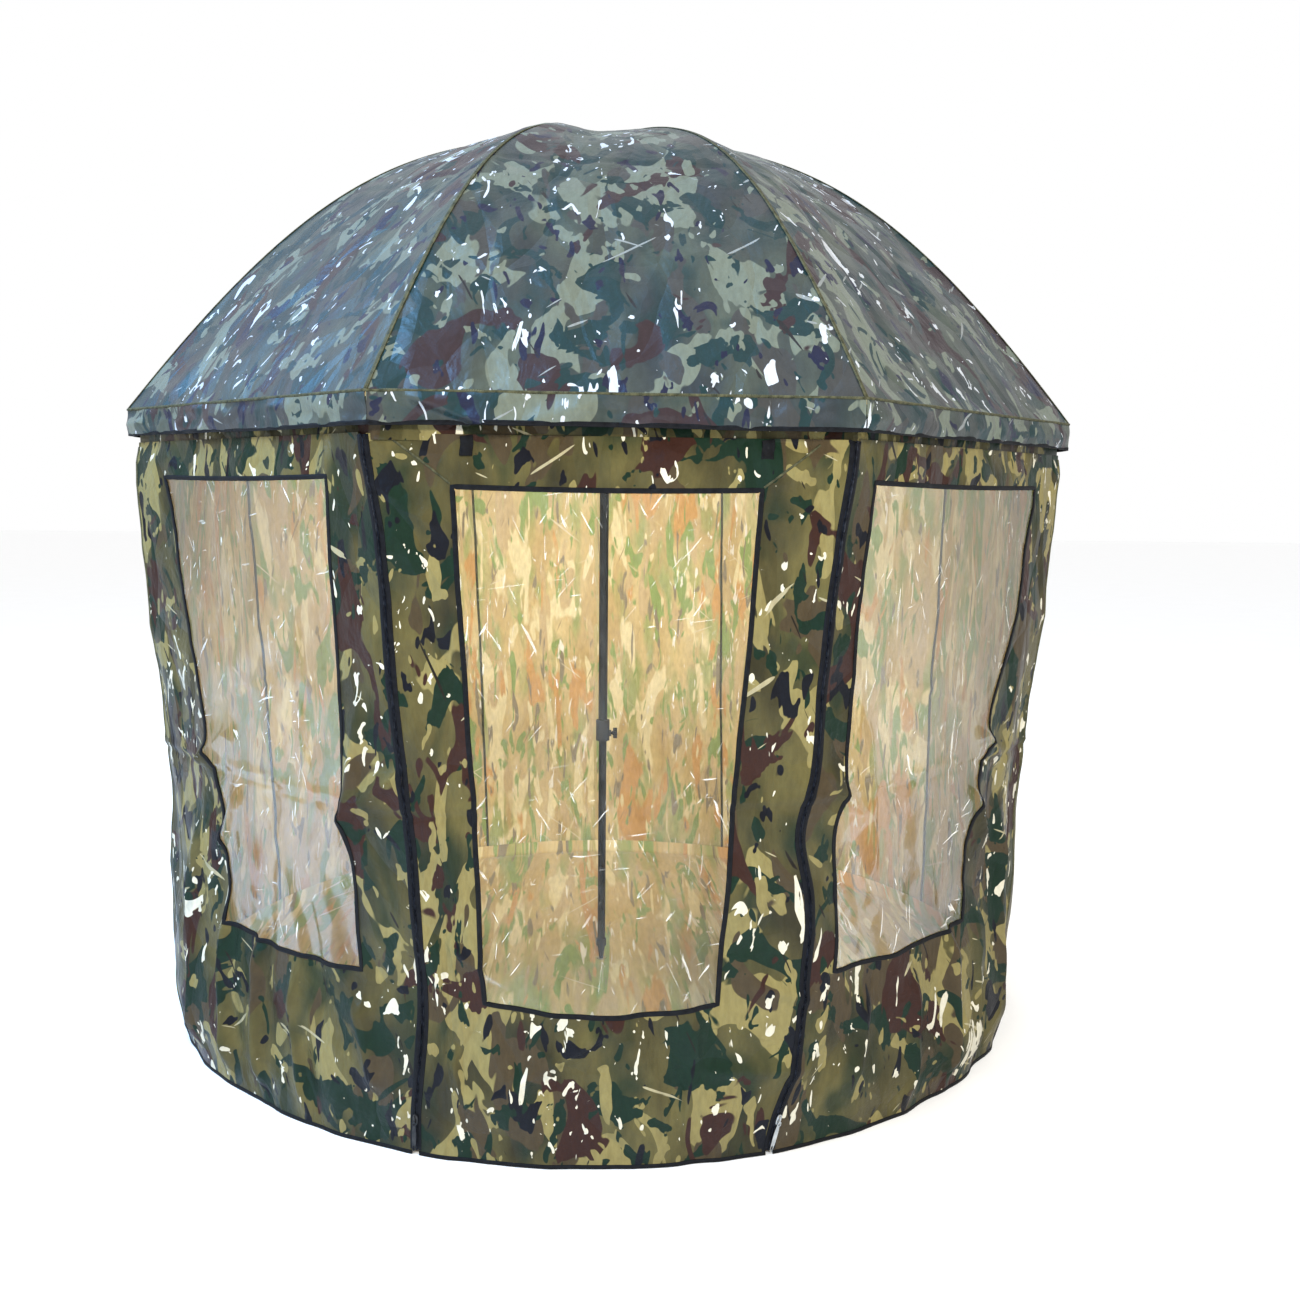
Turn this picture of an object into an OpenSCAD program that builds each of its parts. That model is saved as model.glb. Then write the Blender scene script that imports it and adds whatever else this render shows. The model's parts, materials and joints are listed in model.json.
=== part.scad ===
// Umbrella shelter: an eight-rib umbrella on a two-part centre pole, with a wall of cloth that hangs
// from its edge to the ground and has a zipped door and three clear windows.
// Azimuth is measured about +Z from the front (-Y) towards +X. The floor is z = 0.

/* [Canopy] */
// Radius of the canopy's edge at a rib tip
eave_r = 1200; // [1000:10:1500]
// Height of the canopy's edge above the floor
eave_z = 1508; // [1400:2:1600]
// Height of the canopy's crown
crown_z = 2262; // [2100:2:2400]
// Depth of the valance that hangs from the edge
valance_h = 68; // [40:1:90]
// Dip of the cloth halfway between two ribs
panel_sag = 10; // [0:1:20]

/* [Walls] */
// Radius of the wall's top at a corner
wall_top_r = 1180; // [970:10:1460]
// Radius of the wall's round hem
hem_r = 1116; // [900:2:1300]
// Height of the hem binding
hem_h = 22; // [10:1:40]
// Half width of the door's hem, as an azimuth
door_hem_az = 18.6; // [15:0.1:22]
// Radius of the groundsheet
sheet_r = 1106; // [800:2:1110]
// How far the hem hangs turned against the canopy, in degrees
hem_turn = -2; // [-3:0.5:3]
// Thickness of the cloth, with its seams
cloth_t = 2; // [1.5:0.1:4]
// Width of the door window's upper edge
door_window_top_w = 574; // [300:2:640]
// Width of the door window's lower edge
door_window_low_w = 446; // [300:2:600]
// Height of the door window's upper edge
door_window_top_z = 1334; // [1200:2:1380]
// Height of the door window's lower edge
door_window_low_z = 328; // [250:2:600]
// Height of the side windows' upper edges
side_window_top_z = 1352; // [1200:2:1380]
// Height of the side windows' lower edges
side_window_low_z = 374; // [250:2:600]

/* [Pole] */
// Radius of the upper tube
upper_tube_r = 12.5; // [11:0.1:16]
// Radius of the lower tube
lower_tube_r = 11; // [9:0.1:14]
// Height of the clamp screw
clamp_z = 660; // [500:5:800]
// How far the lower tube reaches up inside the upper one
tube_overlap = 340; // [300:5:400]

/* [Frame] */
// Radius of the rib rods
rib_r = 3; // [2.5:0.1:5]
// Distance of the rib pins from the pole's axis
hub_pin_r = 27; // [24:0.5:34]
// Height of the rib pins
hub_pin_z = 2240; // [2060:1:2380]
// Distance of the stretcher pins on the ribs from the pole's axis
stretch_r = 560; // [480:5:640]
// Distance of the stretchers' lower ends from the pole's axis
runner_pin_r = 30; // [28:0.5:36]
// Height of the stretchers' lower ends
runner_pin_z = 1720; // [1650:5:1780]

/* [Hidden] */
$fn = 64;
RIBS = 8;
STEP = 360 / RIBS;
HALF = STEP / 2;
SIDE_GAP = 0.02;                     // degrees left free between neighbouring canopy sections
ROWS = 12;                           // rows of a canopy section
WALL_COLS = 8;
WALL_ROWS = 3;
zip_gap = 9;                         // from a zip's centre line to the cloth beside it
zip_w = 14;
zip_t = 5;
wall_top_z = eave_z - valance_h - 8;
header_top_z = eave_z - 10;
door_top_z = wall_top_z - 2;
tube_wall = 1.2;
slide_gap = 0.08;                    // radial clearance of everything that slides on the pole
slot_w = 7;                          // slots of the hub and runner, which hold the flat ends
eye_t = 5;                           // thickness of the eyes, which stand a little proud of the flats
flat_t = 4.4;                        // thickness, width and length of a stretcher's flat ends
flat_w = 8;
flat_l = 30;
pin_r = 1.5;                         // pins of the hub
rivet_r = 2;                         // rivets of the stretchers
pin_gap = 0.06;
eye_r = 5;
tip_r = 3.8;                         // rolled end of a rib
runner_h = 76;
runner_low_z = runner_pin_z - 62;
collar_low_z = clamp_z - 20;
collar_h = 58;
upper_low_z = clamp_z + 14;
upper_top_z = hub_pin_z + 4;
screw_r = 4;
rise = crown_z - eave_z;
low_drift = 0.015 * hem_turn;        // shift of the windows' lower edges, as a share of a panel's width

// ---- Geometry rules ----

// A point at a radius, an azimuth and a height
function at(r, az, z) = [r * sin(az), -r * cos(az), z];
function lerp(a, b, t) = a + (b - a) * t;
function rib_az(k) = HALF + STEP * (k - 1);

// A cubic curve from the crown to the edge, as shares of the radius and of the rise
function bezier(a, b, c, d, t) =
    a * pow(1 - t, 3) + 3 * b * pow(1 - t, 2) * t + 3 * c * (1 - t) * t * t + d * t * t * t;
function profile_r(t) = eave_r * bezier(0, 0.42, 0.62, 1, t);
function profile_z(t) = eave_z + rise * bezier(1, 0.93, 0.8, 0, t);

// The rib rod's centre line runs under the cloth, closer towards the edge
function rib_drop(t) = lerp(20, 11, min(1, 3 * t));
function rib_point(t) = [profile_r(t), profile_z(t) - rib_drop(t)];
RIB_FROM = 0.034;
RIB_TO = 0.993;
RIB_STEPS = 18;
rib_line = [for (i = [0:RIB_STEPS]) rib_point(lerp(RIB_FROM, RIB_TO, i / RIB_STEPS))];

// The place on the rib where the stretcher is pinned, found from its radius by halving
function find_t(r, lo = 0, hi = 1, n = 24) =
    n == 0 ? (lo + hi) / 2
    : profile_r((lo + hi) / 2) < r ? find_t(r, (lo + hi) / 2, hi, n - 1)
    : find_t(r, lo, (lo + hi) / 2, n - 1);
stretch_z = rib_point(find_t(stretch_r))[1] - 16;
stretch_run = stretch_r - runner_pin_r;
stretch_rise = stretch_z - runner_pin_z;
stretch_len = sqrt(stretch_run * stretch_run + stretch_rise * stretch_rise);
stretch_tilt = atan2(stretch_rise, stretch_run);

// Azimuths of the wall's corners at the hem, from the door's left edge all the way round to it again
hem_corners = [
    for (az = [-door_hem_az, door_hem_az, 66.5, 112, 157, 203, 248, 293.5, 360 - door_hem_az])
        az + hem_turn
];

// A point on wall panel p: s runs from left to right seen from outside, t from the top to the hem
function wall_point(p, s, t, inset, top_z) =
    let (
        az0 = STEP * p - HALF,
        high = lerp(at(wall_top_r - inset, az0, top_z), at(wall_top_r - inset, az0 + STEP, top_z), s),
        low = at(hem_r - inset, lerp(hem_corners[p], hem_corners[p + 1], s), hem_h)
    ) lerp(high, low, t);

// ---- Building blocks ----

// A closed thin solid between two grids of points, outer and inner, row by row from the top
module sheet(outer, inner) {
    m = len(outer);
    n = len(outer[0]);
    k = m * n;
    cells = [for (i = [0:m - 2], j = [0:n - 2]) [i * n + j, i * n + j + 1, i * n + n + j + 1, i * n + n + j]];
    faces = [
        for (c = cells) each [[c[0], c[1], c[2]], [c[0], c[2], c[3]]],
        for (c = cells) each [[k + c[0], k + c[2], k + c[1]], [k + c[0], k + c[3], k + c[2]]],
        for (j = [0:n - 2]) each [[j + 1, j, k + j], [j + 1, k + j, k + j + 1]],
        for (j = [0:n - 2])
            let (a = (m - 1) * n + j) each [[a, a + 1, k + a + 1], [a, k + a + 1, k + a]],
        for (i = [0:m - 2])
            let (a = i * n) each [[a, a + n, k + a + n], [a, k + a + n, k + a]],
        for (i = [0:m - 2])
            let (a = i * n + n - 1) each [[a + n, a, k + a], [a + n, k + a, k + a + n]]
    ];
    points = [for (row = outer) each row, for (row = inner) each row];
    polyhedron(points = points, faces = faces);
}

// A round rod along a line of [radius, height] points, in the plane of a rib that lies along +X
module rod(line, r, sides = 8) {
    last = len(line) - 1;
    rings = [
        for (i = [0:last])
            let (
                a = line[max(0, i - 1)],
                b = line[min(last, i + 1)],
                along = (b - a) / norm(b - a)
            )
            [for (q = [0:sides - 1])
                let (turn = 360 * q / sides)
                [
                    line[i][0] - along[1] * r * cos(turn),
                    r * sin(turn),
                    line[i][1] + along[0] * r * cos(turn)
                ]
            ]
    ];
    faces = [
        [for (q = [sides - 1:-1:0]) q],
        [for (q = [0:sides - 1]) last * sides + q],
        for (i = [0:last - 1], q = [0:sides - 1])
            let (a = i * sides + q, b = i * sides + (q + 1) % sides)
            each [[a, b, a + sides], [b, b + sides, a + sides]]
    ];
    polyhedron(points = [for (ring = rings) each ring], faces = faces);
}

// A cylinder along Y, centred on a point of a rib's plane
module cross_pin(r, length, x, z) {
    translate([x, 0, z]) rotate([90, 0, 0]) cylinder(r = r, h = length, center = true, $fn = 32);
}

// A flat bar in a rib's plane, from one point at a tilt
module flat_end(x, z, tilt, length, height) {
    translate([x, 0, z]) rotate([0, -tilt, 0])
        translate([0, -flat_t / 2, -height / 2]) cube([length, flat_t, height]);
}

// Turns a thing made along +X to a rib's azimuth
module to_rib(k) {
    rotate([0, 0, rib_az(k) - 90]) children();
}

// ---- Centre pole ----

module lower_pole() {
    color("dimgray") difference() {
        translate([0, 0, 60]) cylinder(r = lower_tube_r, h = clamp_z + tube_overlap - 60);
        translate([0, 0, 62]) cylinder(r = lower_tube_r - tube_wall, h = clamp_z + tube_overlap);
    }
}

// Moulded ground point that closes the bottom of the lower tube
module pole_foot() {
    color("black") {
        cylinder(r1 = 5, r2 = lower_tube_r, h = 40);
        translate([0, 0, 40]) cylinder(r = lower_tube_r + 3, h = 20);
    }
}

// Cloth floor inside the hem, with an eyelet for the pole's foot
module groundsheet() {
    color("olive") difference() {
        cylinder(r = sheet_r, h = cloth_t / 2, $fn = 96);
        translate([0, 0, -1]) cylinder(r = 7, h = cloth_t + 2);
    }
}

module upper_pole() {
    color("dimgray") difference() {
        translate([0, 0, upper_low_z]) cylinder(r = upper_tube_r, h = upper_top_z - upper_low_z);
        translate([0, 0, upper_low_z - 1])
            cylinder(r = lower_tube_r + slide_gap, h = upper_top_z - upper_low_z + 2);
        translate([-3.5, -upper_tube_r - 2, runner_low_z - 24]) cube([7, 6, 24]);
    }
}

module clamp_collar() {
    color("black") difference() {
        union() {
            translate([0, 0, collar_low_z]) cylinder(r = 19, h = collar_h);
            translate([0, 0, clamp_z]) rotate([0, 90, 0]) cylinder(r = 9, h = 24);
        }
        translate([0, 0, collar_low_z - 1]) cylinder(r = lower_tube_r + slide_gap, h = collar_h + 2);
        translate([0, 0, upper_low_z]) cylinder(r = upper_tube_r, h = collar_h);
        translate([0, 0, clamp_z]) rotate([0, 90, 0]) cylinder(r = screw_r + pin_gap, h = 40);
    }
}

// Thumb screw with a lobed knob
module clamp_screw() {
    color("black") translate([lower_tube_r + 0.3, 0, clamp_z]) rotate([0, 90, 0]) {
        cylinder(r = screw_r, h = 16);
        translate([0, 0, 15]) cylinder(r = 6, h = 3);
        translate([0, 0, 18]) difference() {
            cylinder(r = 15, h = 11);
            for (q = [0:5]) rotate([0, 0, 60 * q]) translate([17.5, 0, -1]) cylinder(r = 5, h = 13, $fn = 24);
        }
    }
}

module crown_hub() {
    color("black") difference() {
        translate([0, 0, hub_pin_z - 18]) cylinder(r = 35, h = 30);
        translate([0, 0, hub_pin_z - 19]) cylinder(r = upper_tube_r, h = 19 + 4);
        for (k = [1:RIBS]) to_rib(k) {
            translate([19, -slot_w / 2, hub_pin_z - 19]) cube([20, slot_w, 40]);
            cross_pin(pin_r, 30, hub_pin_r, hub_pin_z);
        }
    }
}

module hub_pins() {
    color("silver") for (k = [1:RIBS]) to_rib(k) cross_pin(pin_r, 13, hub_pin_r, hub_pin_z);
}

module crown_cap() {
    color("black") {
        translate([0, 0, hub_pin_z + 12]) cylinder(r = 5, h = crown_z + 4 - hub_pin_z - 12);
        translate([0, 0, crown_z + 3]) intersection() {
            cylinder(r = 46, h = 14);
            translate([0, 0, -70]) sphere(r = 84, $fn = 64);
        }
    }
}

// ---- Runner and its catch ----

module runner() {
    color("black") difference() {
        union() {
            translate([0, 0, runner_low_z]) cylinder(r = 19, h = runner_h);
            translate([0, 0, runner_pin_z - 8]) cylinder(r = 36, h = 16);
            translate([0, 0, runner_low_z]) cylinder(r = 23, h = 8);
        }
        translate([0, 0, runner_low_z - 1]) cylinder(r = upper_tube_r + slide_gap, h = runner_h + 2);
        for (k = [1:RIBS]) to_rib(k)
            translate([22, -slot_w / 2, runner_pin_z - 20]) cube([20, slot_w, 40]);
    }
}

// Spring button that the open runner rests on
module runner_catch() {
    color("silver") {
        translate([-3, -upper_tube_r - 3.5, runner_low_z - 20]) cube([6, 9.5, 19]);
        translate([-3, -7, runner_low_z - 70]) cube([6, 1, 70]);
    }
}

// ---- Ribs and stretchers ----

module rib() {
    first = rib_line[0];
    color("dimgray") {
        difference() {
            union() {
                cross_pin(eye_r, eye_t, hub_pin_r, hub_pin_z);
                flat_end(hub_pin_r, hub_pin_z, atan2(first[1] - hub_pin_z, first[0] - hub_pin_r), 26, 7);
            }
            cross_pin(pin_r + pin_gap, 20, hub_pin_r, hub_pin_z);
        }
        rod(rib_line, rib_r);
        cross_pin(tip_r, 8, rib_line[RIB_STEPS][0], rib_line[RIB_STEPS][1]);
        rib_bracket();
    }
}

// Two ears under the rib, and the rivet between them that carries the stretcher
module rib_bracket() {
    difference() {
        union() {
            cross_pin(eye_r + 1, 10, stretch_r, stretch_z);
            translate([stretch_r - 5.4, -4.6, stretch_z]) cube([10.8, 9.2, 14]);
        }
        translate([stretch_r - 12, -slot_w / 2 + 0.6, stretch_z - 12]) cube([24, slot_w - 1.2, 21]);
    }
    cross_pin(rivet_r, 9, stretch_r, stretch_z);
}

module stretcher() {
    color("dimgray") difference() {
        union() {
            cross_pin(eye_r, eye_t, stretch_r, stretch_z);
            cross_pin(eye_r, eye_t, runner_pin_r, runner_pin_z);
            translate([runner_pin_r, 0, runner_pin_z]) rotate([0, -stretch_tilt, 0]) {
                for (x = [0, stretch_len - flat_l])
                    translate([x, -flat_t / 2, -flat_w / 2]) cube([flat_l, flat_t, flat_w]);
                translate([flat_l - 6, 0, 0]) rotate([0, 90, 0])
                    cylinder(r = rib_r, h = stretch_len - 2 * flat_l + 12, $fn = 24);
            }
        }
        cross_pin(rivet_r + pin_gap, 20, stretch_r, stretch_z);
        cross_pin(rivet_r + pin_gap, 20, runner_pin_r, runner_pin_z);
    }
}

// ---- Canopy ----

// One section of the canopy: the cloth on both sides of a rib, as far as the middles of two panels
module canopy(k) {
    first = 0.012;
    rows = [
        for (i = [0:ROWS])
            let (
                t = lerp(first, 1, i / ROWS),
                r = profile_r(t),
                z = profile_z(t),
                dip = panel_sag * sin(180 * t),
                side = HALF - SIDE_GAP,
                mid_r = r * cos(HALF) / cos(SIDE_GAP)
            )
            [
                at(mid_r, rib_az(k) - side, z - dip),
                at(r, rib_az(k), z),
                at(mid_r, rib_az(k) + side, z - dip)
            ]
    ];
    color("darkolivegreen") sheet(rows, [for (row = rows) [for (p = row) p - [0, 0, 1.6 * cloth_t]]]);
}

module valance(k) {
    side = HALF - SIDE_GAP;
    top_z = eave_z - 1.6 * cloth_t;
    low_z = eave_z - valance_h;
    azimuths = [rib_az(k) - side, rib_az(k), rib_az(k) + side];
    shares = [cos(HALF), 1, cos(HALF)];
    color("olivedrab") sheet(
        [for (z = [top_z, low_z]) [for (j = [0:2]) at(eave_r * shares[j], azimuths[j], z)]],
        [for (z = [top_z, low_z]) [for (j = [0:2]) at((eave_r - cloth_t) * shares[j], azimuths[j], z)]]
    );
}

// ---- Walls ----

// Cloth of wall panel p, 0 at the front and counted anticlockwise from above, between two heights
module wall_cloth(p, trim0 = 0, trim1 = 0, top_z = wall_top_z, thick = cloth_t, push = 0) {
    width = 2 * wall_top_r * sin(HALF);
    s0 = trim0 / width;
    s1 = 1 - trim1 / width;
    function grid(inset) = [
        for (i = [0:WALL_ROWS]) [
            for (j = [0:WALL_COLS]) wall_point(p, lerp(s0, s1, j / WALL_COLS), i / WALL_ROWS, inset, top_z)
        ]
    ];
    sheet(grid(push), grid(push + thick));
}

// The block that cuts a window through panel p. top and low are [left, right] shares of the panel's
// width at the window's upper and lower edges.
module window_block(p, top, low, top_z, low_z, shrink) {
    half = wall_top_r * sin(HALF);
    outline = [
        [lerp(-half, half, top[0]) + shrink, top_z - shrink],
        [lerp(-half, half, top[1]) - shrink, top_z - shrink],
        [lerp(-half, half, low[1]) - shrink, low_z + shrink],
        [lerp(-half, half, low[0]) + shrink, low_z + shrink]
    ];
    rotate([0, 0, STEP * p]) translate([0, -hem_r, 0]) rotate([90, 0, 0])
        linear_extrude(height = 400, center = true) polygon(outline);
}

module front_window_block(shrink = 0) {
    top = door_window_top_w / (2 * wall_top_r * sin(HALF)) / 2;
    low = door_window_low_w / (2 * wall_top_r * sin(HALF)) / 2;
    window_block(0, [0.5 - top, 0.5 + top], [0.5 - low + low_drift, 0.5 + low + low_drift],
                 door_window_top_z, door_window_low_z, shrink);
}

// The windows beside the door mirror each other, but for the turn of the hem
module side_window_block(side, shrink = 0) {
    near_top = 0.11;
    far_top = 0.86;
    near_low = 0.085;
    far_low = 0.56;
    top = side > 0 ? [near_top, far_top] : [1 - far_top, 1 - near_top];
    low = side > 0 ? [near_low, far_low] : [1 - far_low, 1 - near_low];
    window_block(side > 0 ? 1 : 7, top, low + [low_drift, low_drift],
                 side_window_top_z, side_window_low_z, shrink);
}

module plain_wall(p) {
    color("olive") wall_cloth(p, 0.2, 0.2);
}

module wall_right() { plain_wall(2); }
module wall_back_right() { plain_wall(3); }
module wall_back() { plain_wall(4); }
module wall_back_left() { plain_wall(5); }
module wall_left() { plain_wall(6); }

module wall_front_right() {
    color("olive") difference() {
        wall_cloth(1, zip_gap, 0.2);
        side_window_block(1);
    }
}

module wall_front_left() {
    color("olive") difference() {
        wall_cloth(7, 0.2, zip_gap);
        side_window_block(-1);
    }
}

module side_windows() {
    color("lightyellow", 0.4) {
        intersection() {
            wall_cloth(1, zip_gap, 0.2, thick = 1, push = 0.5);
            side_window_block(1, 0.3);
        }
        intersection() {
            wall_cloth(7, 0.2, zip_gap, thick = 1, push = 0.5);
            side_window_block(-1, 0.3);
        }
    }
}

// Band behind the valance that all the wall panels hang from
module wall_header() {
    color("olive") difference() {
        translate([0, 0, wall_top_z]) rotate([0, 0, HALF])
            cylinder(r = wall_top_r, h = header_top_z - wall_top_z, $fn = RIBS);
        translate([0, 0, wall_top_z - 1]) rotate([0, 0, HALF])
            cylinder(r = wall_top_r - cloth_t, h = header_top_z - wall_top_z + 2, $fn = RIBS);
    }
}

// Bound hem of all the panels but the door
module hem_binding() {
    gap = asin(zip_gap / hem_r);
    color("black") rotate([0, 0, -90 + door_hem_az + hem_turn + gap])
        rotate_extrude(angle = 360 - 2 * (door_hem_az + gap), $fn = 128)
            translate([hem_r - 4, 0]) square([5, hem_h]);
}

// ---- Zips ----

function zip_top(side) = at(wall_top_r, side * HALF, wall_top_z);
function zip_low(side) = at(hem_r, side * door_hem_az + hem_turn, 0);

// Puts a thing made at the foot of a zip, with the zip's run along +Z and outward along -Y, in place
module on_zip(side) {
    run = zip_top(side) - zip_low(side);
    lean_out = atan2(norm([run[0], run[1]]), run[2]);
    heading = atan2(run[1], run[0]);
    translate(zip_low(side))
        rotate([0, 0, heading]) rotate([0, lean_out, 0]) rotate([0, 0, -heading])
            rotate([0, 0, side * (HALF + door_hem_az) / 2]) children();
}

module zip_chains() {
    color("black") for (side = [-1, 1]) on_zip(side)
        translate([-zip_w / 2, -zip_t / 2, 2])
            cube([zip_w, zip_t, norm(zip_top(side) - zip_low(side)) - 6]);
}

// Slider with its pull tab hanging down
module zip_slider(side) {
    color("silver") on_zip(side) {
        translate([-6.5, -zip_t / 2 - 6.3, 70]) cube([13, 6, 26]);
        translate([-5, -zip_t / 2 - 8.3, 12]) cube([10, 2, 66]);
    }
}

module zip_slider_left() { zip_slider(-1); }
module zip_slider_right() { zip_slider(1); }

// ---- Door ----

module door_panel() {
    color("olive") difference() {
        wall_cloth(0, zip_gap, zip_gap, door_top_z);
        front_window_block();
    }
}

module door_window() {
    color("lightyellow", 0.4) intersection() {
        wall_cloth(0, zip_gap, zip_gap, door_top_z, thick = 1, push = 0.5);
        front_window_block(0.3);
    }
}

module door_hem() {
    gap = asin(zip_gap / hem_r);
    color("black") rotate([0, 0, -90 - door_hem_az + hem_turn + gap])
        rotate_extrude(angle = 2 * (door_hem_az - gap), $fn = 128)
            translate([hem_r - 4, 0]) square([5, hem_h]);
}

// Two short ties under the valance that hold the rolled door
module door_ties() {
    flat = wall_top_r * cos(HALF);
    color("black") for (x = [-280, 280])
        translate([x - 12, -flat - 2.6, door_top_z - 40]) cube([24, 1.6, 38]);
}

// ---- Assembly ----

module rib_at(k) { to_rib(k) rib(); }
module stretcher_at(k) { to_rib(k) stretcher(); }

lower_pole();
pole_foot();
groundsheet();
upper_pole();
clamp_collar();
crown_hub();
hub_pins();
crown_cap();
wall_header();
wall_front_right();
wall_right();
wall_back_right();
wall_back();
wall_back_left();
wall_left();
wall_front_left();
side_windows();
zip_chains();
hem_binding();
clamp_screw();
runner();
runner_catch();
rib_at(1);  // rib_1
rib_at(2);  // rib_2
rib_at(3);  // rib_3
rib_at(4);  // rib_4
rib_at(5);  // rib_5
rib_at(6);  // rib_6
rib_at(7);  // rib_7
rib_at(8);  // rib_8
canopy(1);  // canopy_1
canopy(2);  // canopy_2
canopy(3);  // canopy_3
canopy(4);  // canopy_4
canopy(5);  // canopy_5
canopy(6);  // canopy_6
canopy(7);  // canopy_7
canopy(8);  // canopy_8
valance(1);  // valance_1
valance(2);  // valance_2
valance(3);  // valance_3
valance(4);  // valance_4
valance(5);  // valance_5
valance(6);  // valance_6
valance(7);  // valance_7
valance(8);  // valance_8
stretcher_at(1);  // stretcher_1
stretcher_at(2);  // stretcher_2
stretcher_at(3);  // stretcher_3
stretcher_at(4);  // stretcher_4
stretcher_at(5);  // stretcher_5
stretcher_at(6);  // stretcher_6
stretcher_at(7);  // stretcher_7
stretcher_at(8);  // stretcher_8
door_panel();
door_window();
door_hem();
door_ties();
zip_slider_left();
zip_slider_right();
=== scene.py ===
"""An umbrella shelter: a camouflage canopy on eight ribs and a centre pole, with a zipped wall of
cloth and clear windows hung from its edge. Lengths are metres in the row frame: the floor is z = 0,
the front is -Y, and azimuths run from the front towards +X.
"""
import json
import math

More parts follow.
